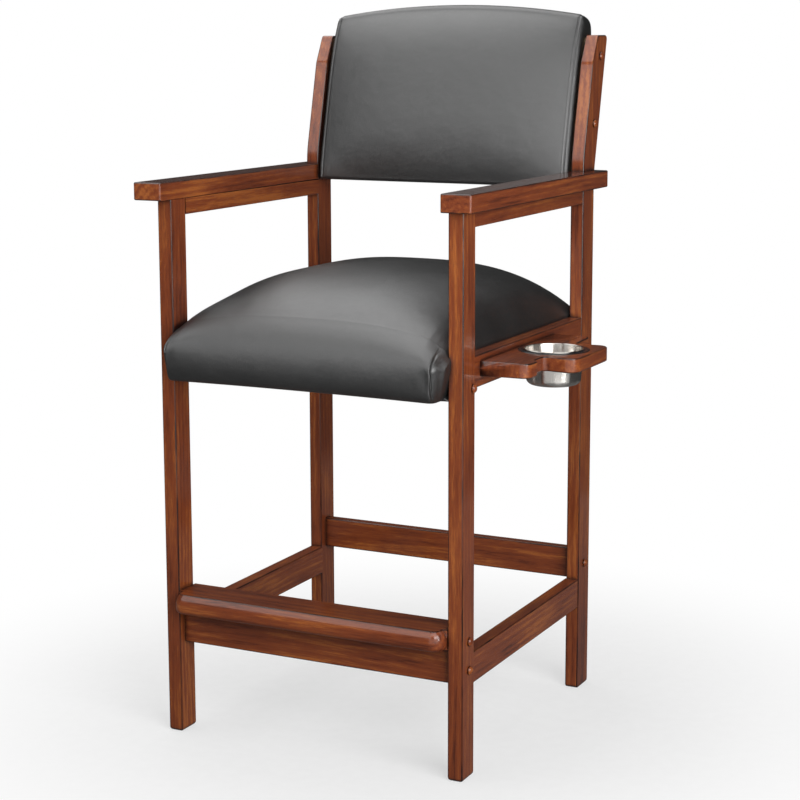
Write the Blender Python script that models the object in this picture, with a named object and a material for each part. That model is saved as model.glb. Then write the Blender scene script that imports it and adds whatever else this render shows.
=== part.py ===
"""Bar-height wooden armchair: vinyl seat and back, footrest, and a steel cup in a side bracket.

Metres, +Z up. The chair faces -Y, so the sitter's left is +X. Every size below is a real size.
"""
import math

import bmesh
import bpy
from mathutils import Matrix, Vector

SIDES = (("left", 1), ("right", -1))
ENDS = (("front", -1), ("rear", 1))

# Fit and finish
CLEAR = 0.0003
EASE = 0.0024
EASE_STEPS = 2
OVERRUN = 0.004

# Frame outside the legs
FRAME_WIDTH = 0.558
FRAME_DEPTH = 0.5606
FRONT_LEG_WIDTH = 0.0264
FRONT_LEG_DEPTH = 0.0451

# Rear leg and back post, one bent piece
POST_WIDTH = 0.0243
POST_DEPTH = 0.0521
POST_TOP = 1.187
POST_RAKE = math.radians(13.3)
POST_REAR_BEND = 0.943
POST_FRONT_BEND = 0.970
POST_BEND_RADIUS = 0.150
POST_TIP_START = 1.138
POST_TIP_DEPTH = 0.0448
POST_TIP_RADIUS = 0.006
ARC_STEPS = 4

# Arms
ARM_TOP = 0.950
ARM_THICKNESS = 0.0297
ARM_FRONT_OVERHANG = 0.031
ARM_SIDE_OVERHANG = 0.0266
ARM_CORNER_RADIUS = 0.004
ARM_RAIL_HEIGHT = 0.0273

# Side rails, their setback from the legs' outer faces and their stub tenons
SIDE_RAIL_SETBACK = 0.0014
SIDE_RAIL_THICKNESS = 0.025
SEAT_RAIL_TOP = 0.690
SEAT_RAIL_HEIGHT = 0.052
SIDE_STRETCHER_LOW = 0.154
SIDE_STRETCHER_HEIGHT = 0.053
TENON_LENGTH = 0.008
TENON_THICKNESS_SHARE = 0.42
TENON_HEIGHT_SHARE = 0.62

# Rails across the seat
FRONT_RAIL_SETBACK = 0.0273
FRONT_RAIL_THICKNESS = 0.020
FRONT_RAIL_HEIGHT = 0.058
REAR_RAIL_SETBACK = 0.002
REAR_RAIL_THICKNESS = 0.020
REAR_RAIL_HEIGHT = 0.054

# Deck of the seat and what carries it
DECK_THICKNESS = 0.012
DECK_DROP = 0.0055
BLOCK_LEG = 0.050
BLOCK_HEIGHT = 0.030
COVER_THICKNESS = 0.001
COVER_INSET = 0.004

# Lower stretchers and footrest
FRONT_STRETCHER_LOW = 0.1585
FRONT_STRETCHER_SETBACK = 0.0153
FRONT_STRETCHER_THICKNESS = 0.021
REAR_STRETCHER_LOW = 0.204
REAR_STRETCHER_HEIGHT = 0.056
REAR_STRETCHER_SETBACK = 0.0143
REAR_STRETCHER_THICKNESS = 0.020
FOOTREST_TOP = 0.253
FOOTREST_THICKNESS = 0.022
FOOTREST_OVERHANG = 0.028
FOOTREST_DEPTH = 0.0775
FOOTREST_CORNER_RADIUS = 0.024
FOOTREST_NOSE_STEPS = 4

# Seat cushion; its ears are the ends of the nose, which swell out before the legs
SEAT_CROWN = 0.086
SEAT_EDGE_RISE = 0.018
SEAT_OVERHANG = 0.0461
SEAT_FRONT_BULGE = 0.0035
SEAT_NOSE_LOW = 0.6222
SEAT_NOSE_RADIUS = 0.012
SEAT_NOSE_TUCK = 0.006
SEAT_CORNER_PULL = 0.029
SEAT_FOLD_DEPTH = 0.003
SEAT_EAR = 0.0095
SEAT_EAR_DEPTH = 0.020
SEAT_EAR_DROP = 0.024
SEAT_STEP = 0.0006
SEAT_CREST_SHARE = 0.433
SEAT_ACROSS_POWER = 3.8
SEAT_FRONT_POWER = 2.3
SEAT_REAR_POWER = 4.4
SEAT_DROP_POWER = 1.5
SEAT_CORNER_POWER = 1.25
SEAT_FOLD_SHARE = 0.93
SEAT_CORNER_SHARE = 0.935
SEAT_DROP_SHARE = 0.85
SEAT_EAR_ROOT_SHARE = 0.2
SEAT_STATION_SHARES = (0.0, 0.22, 0.43, 0.61, 0.75, 0.85, 0.905, SEAT_FOLD_SHARE, 0.945, 0.975, 1.0)
SEAT_TOP_SHARES = (0.985, 0.94, 0.85, 0.70, 0.50, 0.25, 0.0, -0.25, -0.48, -0.66)
SEAT_NOSE_SHARES = (-0.88, -0.935, -0.975, -0.996)

# Back pad, measured along the leaning front face of the posts and square to it
PAD_SIDE_GAP = 0.0052
PAD_LOW = -0.0522
PAD_HIGH = 0.266
PAD_TOP_CROWN = 0.0187
PAD_PROUD = 0.0015
PAD_SWEEP = 0.022
PAD_FRONT_CROWN = 0.024
PAD_BACK = 0.054
PAD_LOWER_RADIUS = 0.008
PAD_REAR_ROLL = 0.026
PAD_SIDE_ROLL = 0.006
PAD_CORNER_DROP = 0.010
PAD_ACROSS_POWER = 3.0
PAD_UPRIGHT_POWER = 3.0
PAD_SWEEP_POWER = 4
PAD_SWEEP_SHARE = 0.40
PAD_ROLL_SHARE = 0.88
PAD_SEAM_SHARE = 0.97
PAD_CORNER_SHARE = 0.95
PAD_TOP_FLAT_SHARES = (0.40, 0.62)
PAD_FRONT_SHARES = (0.07, 0.13, 0.21, 0.32, 0.45, 0.58, 0.70, 0.79)
PAD_STATION_SHARES = (0.0, 0.25, 0.48, 0.68, 0.83, 0.92, PAD_SEAM_SHARE, 0.99, 1.0)
BOARD_THICKNESS = 0.018
BOARD_SETBACK = 0.032
BOARD_LOW = -0.0284
BOARD_HIGH = 0.2234
REAR_PAD_THICKNESS = 0.011
REAR_PAD_EASE = 0.003

# Cup bracket, measured outward from the seat rail's outer face
BRACKET_DROP = 0.011
BRACKET_THICKNESS = 0.0238
BRACKET_LEG_GAP = 0.0222
BRACKET_LENGTH = 0.312
BRACKET_BASE_REACH = 0.083
BRACKET_NECK_REACH = 0.073
BRACKET_REACH = 0.1324
BRACKET_SHOULDER_LENGTH = 0.238
BRACKET_NOTCH_LENGTH = 0.216
BRACKET_NECK_LENGTH = 0.143
BRACKET_FLARE_LENGTH = 0.160
BRACKET_BASE_RADIUS = 0.016
BRACKET_NOTCH_RADIUS = 0.010
BRACKET_NECK_RADIUS = 0.008
BRACKET_FLARE_RADIUS = 0.020
BRACKET_ARC_STEPS = 5

# Ring and cup
CUP_CENTRE_REACH = 0.0624
RING_DIAMETER = 0.1176
RING_BORE = 0.1024
RING_WALL = 0.0015
RING_RISE = 0.001
RING_FLANGE = 0.0037
RING_DEPTH = 0.013
RING_EDGE = 0.0012
CUP_LIP_DIAMETER = 0.1086
CUP_TOP_DIAMETER = 0.1010
CUP_BASE_DIAMETER = 0.0905
CUP_WALL = 0.0009
CUP_LIP_THICKNESS = 0.0015
CUP_DEPTH = 0.0583
CUP_BASE_RADIUS = 0.010
CUP_SIDES = 36
CUP_ARC_STEPS = 3

# Screws and the wooden buttons that hide them
BUTTON_DIAMETER = 0.014
BUTTON_RISE = 0.0045
BUTTON_STEM_DIAMETER = 0.0095
BUTTON_STEM_LENGTH = 0.005
SCREW_DIAMETER = 0.0042
SCREW_HEAD_DIAMETER = 0.0085
SCREW_HEAD_HEIGHT = 0.003
SCREW_POINT = 0.004
FRAME_SCREW_LENGTH = 0.045
DECK_SCREW_LENGTH = 0.033
BRACKET_SCREW_LENGTH = 0.040
SCREW_RECESS = 0.002
SCREW_SIDES = 12
FRONT_RAIL_SCREW_SHARE = 0.23
FRONT_STRETCHER_SCREW_SHARE = 0.417
FOOTREST_SCREW_SHARE = 0.25
REAR_STRETCHER_SCREW_SHARE = 0.5
BOARD_SCREW_SHARES = (("lower", 0.396), ("upper", 0.878))
BRACKET_SCREW_SHARE = 0.69

# Places worked out from the sizes
LEG_OUTER = FRAME_WIDTH / 2
FRONT_LEG_INNER = LEG_OUTER - FRONT_LEG_WIDTH
POST_INNER = LEG_OUTER - POST_WIDTH
FRONT_FACE = -FRAME_DEPTH / 2
FRONT_LEG_BACK = FRONT_FACE + FRONT_LEG_DEPTH
POST_BACK = FRAME_DEPTH / 2
POST_FRONT = POST_BACK - POST_DEPTH
ARM_UNDERSIDE = ARM_TOP - ARM_THICKNESS
ARM_OUTER = LEG_OUTER + ARM_SIDE_OVERHANG
RAIL_OUTER = LEG_OUTER - SIDE_RAIL_SETBACK
RAIL_INNER = RAIL_OUTER - SIDE_RAIL_THICKNESS
FRONT_RAIL_FACE = FRONT_FACE + FRONT_RAIL_SETBACK
FRONT_RAIL_BACK = FRONT_RAIL_FACE + FRONT_RAIL_THICKNESS
REAR_RAIL_BACK = POST_BACK - REAR_RAIL_SETBACK
REAR_RAIL_FACE = REAR_RAIL_BACK - REAR_RAIL_THICKNESS
DECK_TOP = SEAT_RAIL_TOP - DECK_DROP
DECK_UNDERSIDE = DECK_TOP - DECK_THICKNESS
FRONT_RAIL_LOW = DECK_TOP - FRONT_RAIL_HEIGHT
FRONT_STRETCHER_FACE = FRONT_FACE + FRONT_STRETCHER_SETBACK
FRONT_STRETCHER_BACK = FRONT_STRETCHER_FACE + FRONT_STRETCHER_THICKNESS
FOOTREST_UNDERSIDE = FOOTREST_TOP - FOOTREST_THICKNESS
REAR_STRETCHER_BACK = POST_BACK - REAR_STRETCHER_SETBACK
REAR_STRETCHER_FACE = REAR_STRETCHER_BACK - REAR_STRETCHER_THICKNESS
BRACKET_CENTRE_Y = FRONT_LEG_BACK + BRACKET_LEG_GAP + BRACKET_LENGTH / 2
BRACKET_TOP = SEAT_RAIL_TOP - BRACKET_DROP
BRACKET_MIDDLE = BRACKET_TOP - BRACKET_THICKNESS / 2
CUP_X = RAIL_OUTER + CUP_CENTRE_REACH
RING_TOP = BRACKET_TOP + RING_RISE
BORE_DEPTH = BUTTON_STEM_LENGTH + SCREW_HEAD_HEIGHT + 2 * CLEAR
POST_TIP_BACK = POST_BACK + (POST_TOP - POST_REAR_BEND) * math.tan(POST_RAKE)

# Finishes: colour, roughness, metallic
WOOD = ((0.20, 0.070, 0.030), 0.34, 0.0)
PLY = ((0.42, 0.29, 0.17), 0.75, 0.0)
VINYL = ((0.045, 0.047, 0.048), 0.42, 0.0)
LINING = ((0.02, 0.02, 0.02), 0.95, 0.0)
RUBBER = ((0.012, 0.012, 0.014), 0.45, 0.0)
STEEL = ((0.62, 0.61, 0.58), 0.28, 1.0)
ZINC = ((0.50, 0.49, 0.46), 0.40, 1.0)


def clear_scene():
    """Remove every object that the file opens with."""
    for item in list(bpy.data.objects):
        bpy.data.objects.remove(item, do_unlink=True)


def empty(name, place, parent=None):
    """Add an empty that carries other pieces."""
    holder = bpy.data.objects.new(name, None)
    holder.location = place
    holder.parent = parent
    bpy.context.collection.objects.link(holder)
    return holder


def finish(name, look):
    """Make one piece's own material."""
    colour, roughness, metallic = look
    material = bpy.data.materials.new(name + "_finish")
    material.use_nodes = True
    shader = material.node_tree.nodes["Principled BSDF"]
    shader.inputs["Base Color"].default_value = (*colour, 1.0)
    shader.inputs["Roughness"].default_value = roughness
    shader.inputs["Metallic"].default_value = metallic
    return material


def piece(name, shape, look, parent, origin=(0.0, 0.0, 0.0), smooth_angle=None):
    """Turn a shape drawn in its parent's frame into an object whose origin is at the given point."""
    bmesh.ops.recalc_face_normals(shape, faces=shape.faces)
    bmesh.ops.translate(shape, verts=shape.verts, vec=-Vector(origin))
    mesh = bpy.data.meshes.new(name)
    shape.to_mesh(mesh)
    shape.free()
    if smooth_angle is not None:
        mesh.shade_smooth()
        mesh.set_sharp_from_angle(angle=smooth_angle)
    mesh.materials.append(finish(name, look))
    made = bpy.data.objects.new(name, mesh)
    made.location = origin
    made.parent = parent
    bpy.context.collection.objects.link(made)
    return made


def eased(made, width=EASE):
    """Ease the square arrises of a piece."""
    bevel = made.modifiers.new("eased_arrises", "BEVEL")
    bevel.width = width
    bevel.segments = EASE_STEPS
    bevel.limit_method = "ANGLE"
    bevel.angle_limit = math.radians(50)
    return made


def cut(made, shape, parent):
    """Cut a shape, drawn in the parent's frame, out of a piece."""
    bmesh.ops.recalc_face_normals(shape, faces=shape.faces)
    mesh = bpy.data.meshes.new(made.name + "_cutter")
    shape.to_mesh(mesh)
    shape.free()
    cutter = bpy.data.objects.new(made.name + "_cutter", mesh)
    cutter.parent = parent
    cutter.hide_render = True
    cutter.display_type = "WIRE"
    bpy.context.collection.objects.link(cutter)
    boolean = made.modifiers.new("joinery", "BOOLEAN")
    boolean.operation = "DIFFERENCE"
    boolean.solver = "EXACT"
    boolean.object = cutter
    return made


def add_box(shape, low, high):
    """Add a box between two corners and give its vertices."""
    cube = bmesh.ops.create_cube(shape, size=1.0)["verts"]
    spot = [(start + end) / 2 for start, end in zip(low, high)]
    span = [abs(end - start) for start, end in zip(low, high)]
    bmesh.ops.scale(shape, verts=cube, vec=span)
    bmesh.ops.translate(shape, verts=cube, vec=spot)
    return cube


def box(low, high):
    """A box between two corners, as a new shape."""
    shape = bmesh.new()
    add_box(shape, low, high)
    return shape


def skin(shape, loops, closed_ends=True):
    """Join loops of equal count with faces and close the first and last."""
    count = len(loops[0])
    for first, second in zip(loops, loops[1:]):
        for index in range(count):
            after = (index + 1) % count
            shape.faces.new((first[index], first[after], second[after], second[index]))
    if closed_ends:
        shape.faces.new(loops[0])
        shape.faces.new(loops[-1])


def prism(outline, low, high, axis):
    """Extrude a closed outline from low to high along X or Z."""
    shape = bmesh.new()
    loops = []
    for level in (low, high):
        if axis == "X":
            loops.append([shape.verts.new((level, first, second)) for first, second in outline])
        else:
            loops.append([shape.verts.new((first, second, level)) for first, second in outline])
    skin(shape, loops)
    return shape


def add_turned(shape, profile, sides, place, closed=False):
    """Turn a profile of (radius, height) about Z and set it in place; a radius of zero is a pole."""
    loops = []
    for radius, height in profile:
        if radius == 0:
            loops.append([shape.verts.new(place @ Vector((0.0, 0.0, height)))])
            continue
        angles = [2 * math.pi * index / sides for index in range(sides)]
        ring = [Vector((radius * math.cos(a), radius * math.sin(a), height)) for a in angles]
        loops.append([shape.verts.new(place @ spot) for spot in ring])
    pairs = list(zip(loops, loops[1:]))
    if closed:
        pairs.append((loops[-1], loops[0]))
    for first, second in pairs:
        for index in range(sides):
            after = index + 1
            corners = [first[index % len(first)], first[after % len(first)]]
            corners += [second[after % len(second)], second[index % len(second)]]
            shape.faces.new(list(dict.fromkeys(corners)))


def turned(profile, sides, place=Matrix(), closed=False):
    """A turned solid, as a new shape."""
    shape = bmesh.new()
    add_turned(shape, profile, sides, place, closed)
    return shape


def filleted(corners, steps):
    """Round the corners of a closed outline; each corner is (first, second, radius)."""
    outline = []
    for index, (first, second, radius) in enumerate(corners):
        here = Vector((first, second))
        before = Vector(corners[index - 1][:2]) - here
        after = Vector(corners[(index + 1) % len(corners)][:2]) - here
        half = before.angle(after) / 2
        room = min(before.length, after.length) / 2 * math.tan(half)
        radius = min(radius, room)
        if radius <= 0:
            outline.append((here.x, here.y))
            continue
        reach = radius / math.tan(half)
        middle = here + (before.normalized() + after.normalized()).normalized() * radius / math.sin(half)
        start = here + before.normalized() * reach - middle
        end = here + after.normalized() * reach - middle
        sweep = start.angle(end)
        for step in range(steps + 1):
            turn = sweep * step / steps
            spoke = (start * math.sin(sweep - turn) + end * math.sin(turn)) / math.sin(sweep)
            outline.append((middle.x + spoke.x, middle.y + spoke.y))
    return outline


def quarter(start, end, steps, leave_first):
    """A quarter ellipse between two points that leaves along the first or the second direction."""
    points = []
    for step in range(steps + 1):
        turn = math.pi / 2 * step / steps
        fast, slow = math.sin(turn), 1 - math.cos(turn)
        first_share, second_share = (fast, slow) if leave_first else (slow, fast)
        first = start[0] + (end[0] - start[0]) * first_share
        second = start[1] + (end[1] - start[1]) * second_share
        points.append((first, second))
    return points


def late(share, start):
    """How far the size of a share has gone from a start towards one, and zero before the start."""
    return max(0.0, abs(share) - start) / (1 - start)


def rounded_off(share):
    """The fall of a quarter circle, from zero to one."""
    return 1 - math.sqrt(max(0.0, 1 - share * share))


def leaning(along, back):
    """The (y, z) of a point measured along the posts' leaning front face and square to it."""
    lean, rise = math.sin(POST_RAKE), math.cos(POST_RAKE)
    return POST_FRONT + along * lean + back * rise, POST_FRONT_BEND + along * rise - back * lean


def outward(side, first, second, start):
    """The frame of a hole or screw along X, whose height runs out of the chair's side."""
    return Matrix.Translation((side * start, first, second)) @ Matrix.Rotation(side * math.pi / 2, 4, "Y")


def frame_screws():
    """Every screw through a leg: name, y and z of its axis."""
    board_span = BOARD_HIGH - BOARD_LOW
    spots = [
        ("front_rail", (FRONT_RAIL_FACE + FRONT_RAIL_BACK) / 2,
         FRONT_RAIL_LOW + FRONT_RAIL_SCREW_SHARE * FRONT_RAIL_HEIGHT),
        ("front_stretcher", (FRONT_STRETCHER_FACE + FRONT_STRETCHER_BACK) / 2,
         FRONT_STRETCHER_LOW + FRONT_STRETCHER_SCREW_SHARE * (FOOTREST_UNDERSIDE - FRONT_STRETCHER_LOW)),
        ("footrest", (FRONT_STRETCHER_FACE + FRONT_STRETCHER_BACK) / 2,
         FOOTREST_UNDERSIDE + FOOTREST_SCREW_SHARE * FOOTREST_THICKNESS),
        ("rear_stretcher", (REAR_STRETCHER_FACE + REAR_STRETCHER_BACK) / 2,
         REAR_STRETCHER_LOW + REAR_STRETCHER_SCREW_SHARE * REAR_STRETCHER_HEIGHT),
    ]
    for level, share in BOARD_SCREW_SHARES:
        spots.append(("back_" + level, *leaning(BOARD_LOW + share * board_span, BOARD_SETBACK)))
    return spots


def screw_profile(recess, length):
    """A screw whose head's top lies a recess below the surface, which is at height zero."""
    head_top = -recess - CLEAR
    head_low = head_top - SCREW_HEAD_HEIGHT
    thread = SCREW_DIAMETER / 2
    return ((0, head_low - length), (thread, head_low - length + SCREW_POINT), (thread, head_low),
            (SCREW_HEAD_DIAMETER / 2, head_low), (SCREW_HEAD_DIAMETER / 2, head_top), (0, head_top))


def bore_profile(recess, length):
    """The stepped hole for such a screw, with a running gap all round it."""
    floor = -recess - SCREW_HEAD_HEIGHT - 2 * CLEAR
    wide = max(SCREW_HEAD_DIAMETER, BUTTON_STEM_DIAMETER) / 2 + CLEAR
    narrow = SCREW_DIAMETER / 2 + CLEAR
    end = floor - length - CLEAR
    return ((0, end), (narrow, end), (narrow, floor), (wide, floor), (wide, OVERRUN), (0, OVERRUN))


def add_frame_bores(shape, side, names):
    """Add the named frame screws' holes on one side to a cutter."""
    profile = bore_profile(BUTTON_STEM_LENGTH, FRAME_SCREW_LENGTH)
    for name, y, z in frame_screws():
        if name in names:
            add_turned(shape, profile, SCREW_SIDES, outward(side, y, z, LEG_OUTER))


def frame_bores(names):
    """The named frame screws' holes on both sides, as a cutter."""
    shape = bmesh.new()
    for _, side in SIDES:
        add_frame_bores(shape, side, names)
    return shape


def side_rails():
    """Each side rail's name, underside and top."""
    return (
        ("arm_rail", ARM_UNDERSIDE - CLEAR - ARM_RAIL_HEIGHT, ARM_UNDERSIDE - CLEAR),
        ("seat_side_rail", SEAT_RAIL_TOP - SEAT_RAIL_HEIGHT, SEAT_RAIL_TOP),
        ("side_stretcher", SIDE_STRETCHER_LOW, SIDE_STRETCHER_LOW + SIDE_STRETCHER_HEIGHT),
    )


def add_side_mortises(shape, side, face, inward):
    """Add the mortises for the three side rails to a leg's cutter."""
    middle = side * (RAIL_OUTER + RAIL_INNER) / 2
    half = SIDE_RAIL_THICKNESS * TENON_THICKNESS_SHARE / 2 + CLEAR
    for _, low, high in side_rails():
        centre = (low + high) / 2
        reach = (high - low) * TENON_HEIGHT_SHARE / 2 + CLEAR
        near = face - inward * OVERRUN
        far = face + inward * (TENON_LENGTH + CLEAR)
        add_box(shape, (middle - half, min(near, far), centre - reach),
                (middle + half, max(near, far), centre + reach))


def front_leg(name, side, chair):
    """Square front leg, mortised for the side rails and bored for the screws."""
    low = (side * FRONT_LEG_INNER, FRONT_FACE, 0.0)
    high = (side * LEG_OUTER, FRONT_LEG_BACK, ARM_UNDERSIDE - CLEAR)
    centre = (side * (FRONT_LEG_INNER + LEG_OUTER) / 2, (FRONT_FACE + FRONT_LEG_BACK) / 2, 0.0)
    made = eased(piece(name, box(low, high), WOOD, chair, centre))
    cutter = bmesh.new()
    add_side_mortises(cutter, side, FRONT_LEG_BACK, -1)
    add_frame_bores(cutter, side, ("front_rail", "front_stretcher", "footrest"))
    return cut(made, cutter, chair)


def post_outline():
    """Side view of the rear leg and back post."""
    lean = math.tan(POST_RAKE)
    tip_start_y = POST_FRONT + (POST_TIP_START - POST_FRONT_BEND) * lean
    return filleted((
        (POST_FRONT, 0.0, 0.0),
        (POST_BACK, 0.0, 0.0),
        (POST_BACK, POST_REAR_BEND, POST_BEND_RADIUS),
        (POST_TIP_BACK, POST_TOP, POST_TIP_RADIUS),
        (POST_TIP_BACK - POST_TIP_DEPTH, POST_TOP, POST_TIP_RADIUS),
        (tip_start_y, POST_TIP_START, POST_TIP_DEPTH),
        (POST_FRONT, POST_FRONT_BEND, POST_BEND_RADIUS),
    ), ARC_STEPS)


def rear_post(name, side, chair):
    """Rear leg that bends back above the arm to carry the back pad."""
    shape = prism(post_outline(), side * POST_INNER, side * LEG_OUTER, "X")
    centre = (side * (POST_INNER + LEG_OUTER) / 2, (POST_FRONT + POST_BACK) / 2, 0.0)
    made = eased(piece(name, shape, WOOD, chair, centre))
    cutter = bmesh.new()
    add_side_mortises(cutter, side, POST_FRONT, 1)
    add_cross_mortise(cutter, side)
    board_screws = tuple("back_" + level for level, _ in BOARD_SCREW_SHARES)
    add_frame_bores(cutter, side, ("rear_stretcher", *board_screws))
    return cut(made, cutter, chair)


def add_cross_mortise(shape, side):
    """Add the mortise for the seat's rear rail to a post's cutter."""
    centre_y = (REAR_RAIL_FACE + REAR_RAIL_BACK) / 2
    centre_z = DECK_TOP - REAR_RAIL_HEIGHT / 2
    half = REAR_RAIL_THICKNESS * TENON_THICKNESS_SHARE / 2 + CLEAR
    reach = REAR_RAIL_HEIGHT * TENON_HEIGHT_SHARE / 2 + CLEAR
    near = side * (POST_INNER - OVERRUN)
    far = side * (POST_INNER + TENON_LENGTH + CLEAR)
    add_box(shape, (min(near, far), centre_y - half, centre_z - reach),
            (max(near, far), centre_y + half, centre_z + reach))


def armrest(name, side, chair):
    """Flat arm, notched round the post, that overhangs the leg in front and outside."""
    inner, outer = side * FRONT_LEG_INNER, side * ARM_OUTER
    front = FRONT_FACE - ARM_FRONT_OVERHANG
    notch_x, notch_y = side * (LEG_OUTER + CLEAR), POST_FRONT - CLEAR
    outline = filleted((
        (inner, front, ARM_CORNER_RADIUS),
        (outer, front, ARM_CORNER_RADIUS),
        (outer, POST_BACK, ARM_CORNER_RADIUS),
        (notch_x, POST_BACK, 0.0),
        (notch_x, notch_y, 0.0),
        (inner, notch_y, 0.0),
    ), ARC_STEPS)
    shape = prism(outline, ARM_UNDERSIDE, ARM_TOP, "Z")
    return eased(piece(name, shape, WOOD, chair, (side * LEG_OUTER, FRONT_FACE, ARM_UNDERSIDE)))


def rail_shape(low, high, axis, tenoned):
    """A rail between two corners, with its long arrises eased and a stub tenon on each end."""
    shape = box(low, high)
    long_edges = []
    for edge in shape.edges:
        run = edge.verts[1].co - edge.verts[0].co
        if abs(run.normalized()[axis]) > math.cos(math.radians(1)):
            long_edges.append(edge)
    bmesh.ops.bevel(shape, geom=long_edges, offset=EASE, segments=EASE_STEPS, profile=0.5, affect="EDGES")
    if not tenoned:
        return shape
    shape.faces.ensure_lookup_table()
    for sign in (-1, 1):
        level = high[axis] if sign > 0 else low[axis]
        end = max(shape.faces, key=lambda face: sign * face.calc_center_median()[axis])
        middle = end.calc_center_bounds()
        shares = [TENON_THICKNESS_SHARE] * 3
        shares[2] = TENON_HEIGHT_SHARE
        shoulder = bmesh.ops.extrude_discrete_faces(shape, faces=[end])["faces"][0]
        bmesh.ops.scale(shape, verts=shoulder.verts, vec=shares, space=Matrix.Translation(-middle))
        for vertex in shoulder.verts:
            vertex.co[axis] = level
        tenon = bmesh.ops.extrude_discrete_faces(shape, faces=[shoulder])["faces"][0]
        step = [0.0, 0.0, 0.0]
        step[axis] = sign * TENON_LENGTH
        bmesh.ops.translate(shape, verts=tenon.verts, vec=step)
    return shape


def side_rail(name, side, low, high, chair):
    """Rail between a front leg and a post."""
    near = min(side * RAIL_INNER, side * RAIL_OUTER)
    far = max(side * RAIL_INNER, side * RAIL_OUTER)
    front, rear = FRONT_LEG_BACK + CLEAR, POST_FRONT - CLEAR
    shape = rail_shape((near, front, low), (far, rear, high), 1, True)
    return piece(name, shape, WOOD, chair, ((near + far) / 2, (front + rear) / 2, low))


def cross_rail(name, half, face, back, low, high, chair, tenoned=False):
    """Rail across the chair between its two sides."""
    shape = rail_shape((-half, face, low), (half, back, high), 0, tenoned)
    return piece(name, shape, WOOD, chair, (0.0, (face + back) / 2, low))


def seat_front_rail(chair):
    """Front seat rail, behind the nose of the cushion."""
    made = cross_rail("seat_front_rail", FRONT_LEG_INNER - CLEAR, FRONT_RAIL_FACE, FRONT_RAIL_BACK,
                      FRONT_RAIL_LOW, DECK_TOP - CLEAR, chair)
    return cut(made, frame_bores(("front_rail",)), chair)


def seat_rear_rail(chair):
    """Rear seat rail, tenoned into the posts."""
    return cross_rail("seat_rear_rail", POST_INNER - CLEAR, REAR_RAIL_FACE, REAR_RAIL_BACK,
                      DECK_TOP - REAR_RAIL_HEIGHT, DECK_TOP - CLEAR, chair, tenoned=True)


def front_stretcher(chair):
    """Low front rail that carries the footrest board."""
    made = cross_rail("front_stretcher", FRONT_LEG_INNER - CLEAR, FRONT_STRETCHER_FACE,
                      FRONT_STRETCHER_BACK, FRONT_STRETCHER_LOW, FOOTREST_UNDERSIDE - CLEAR, chair)
    return cut(made, frame_bores(("front_stretcher",)), chair)


def rear_stretcher(chair):
    """Low rear rail between the posts."""
    made = cross_rail("rear_stretcher", POST_INNER - CLEAR, REAR_STRETCHER_FACE, REAR_STRETCHER_BACK,
                      REAR_STRETCHER_LOW, REAR_STRETCHER_LOW + REAR_STRETCHER_HEIGHT, chair)
    return cut(made, frame_bores(("rear_stretcher",)), chair)


def footrest_board(chair):
    """Board on the front stretcher, with a bullnose that runs round its two front corners."""
    half = FRONT_LEG_INNER - CLEAR
    front = FRONT_FACE - FOOTREST_OVERHANG
    back = front + FOOTREST_DEPTH
    outline = filleted((
        (-half, front, FOOTREST_CORNER_RADIUS),
        (half, front, FOOTREST_CORNER_RADIUS),
        (half, back, 0.0),
        (-half, back, 0.0),
    ), ARC_STEPS)
    shape = prism(outline, FOOTREST_UNDERSIDE, FOOTREST_TOP, "Z")
    side_start = front + FOOTREST_CORNER_RADIUS + CLEAR
    nose = [edge for edge in shape.edges if all(v.co.y < side_start for v in edge.verts)
            and edge.verts[0].co.z == edge.verts[1].co.z]
    bmesh.ops.bevel(shape, geom=nose, offset=FOOTREST_THICKNESS / 2 - CLEAR,
                    segments=FOOTREST_NOSE_STEPS, profile=0.5, affect="EDGES")
    made = piece("footrest_board", shape, WOOD, chair, (0.0, back, FOOTREST_UNDERSIDE))
    return cut(made, frame_bores(("footrest",)), chair)


def corner_block_outline(side, end):
    """Plan of a three-cornered block in a corner of the seat frame."""
    corner_x = side * (RAIL_INNER - CLEAR)
    corner_y = FRONT_RAIL_BACK + CLEAR if end < 0 else REAR_RAIL_FACE - CLEAR
    return ((corner_x, corner_y), (corner_x - side * BLOCK_LEG, corner_y),
            (corner_x, corner_y - end * BLOCK_LEG))


def deck_screw_place(side, end):
    """The frame of the screw that goes up through a corner block into the deck."""
    corners = corner_block_outline(side, end)
    x = sum(spot[0] for spot in corners) / len(corners)
    y = sum(spot[1] for spot in corners) / len(corners)
    low = DECK_UNDERSIDE - CLEAR - BLOCK_HEIGHT
    return Matrix.Translation((x, y, low)) @ Matrix.Rotation(math.pi, 4, "X")


def corner_block(name, side, end, chair):
    """Glue block that stiffens the seat frame and carries the deck."""
    high = DECK_UNDERSIDE - CLEAR
    outline = corner_block_outline(side, end)
    shape = prism(outline, high - BLOCK_HEIGHT, high, "Z")
    made = piece(name, shape, WOOD, chair, (*outline[0], high - BLOCK_HEIGHT))
    bore = turned(bore_profile(SCREW_RECESS, DECK_SCREW_LENGTH), SCREW_SIDES, deck_screw_place(side, end))
    return cut(made, bore, chair)


def seat_deck(chair):
    """Plywood deck between the seat rails."""
    half = RAIL_INNER - CLEAR
    front, rear = FRONT_RAIL_BACK + CLEAR, REAR_RAIL_FACE - CLEAR
    shape = box((-half, front, DECK_UNDERSIDE), (half, rear, DECK_TOP))
    made = piece("seat_deck", shape, PLY, chair, (0.0, (front + rear) / 2, DECK_UNDERSIDE))
    bores = bmesh.new()
    for _, side in SIDES:
        for _, end in ENDS:
            add_turned(bores, bore_profile(SCREW_RECESS, DECK_SCREW_LENGTH), SCREW_SIDES,
                       deck_screw_place(side, end))
    return cut(made, bores, chair)


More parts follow.
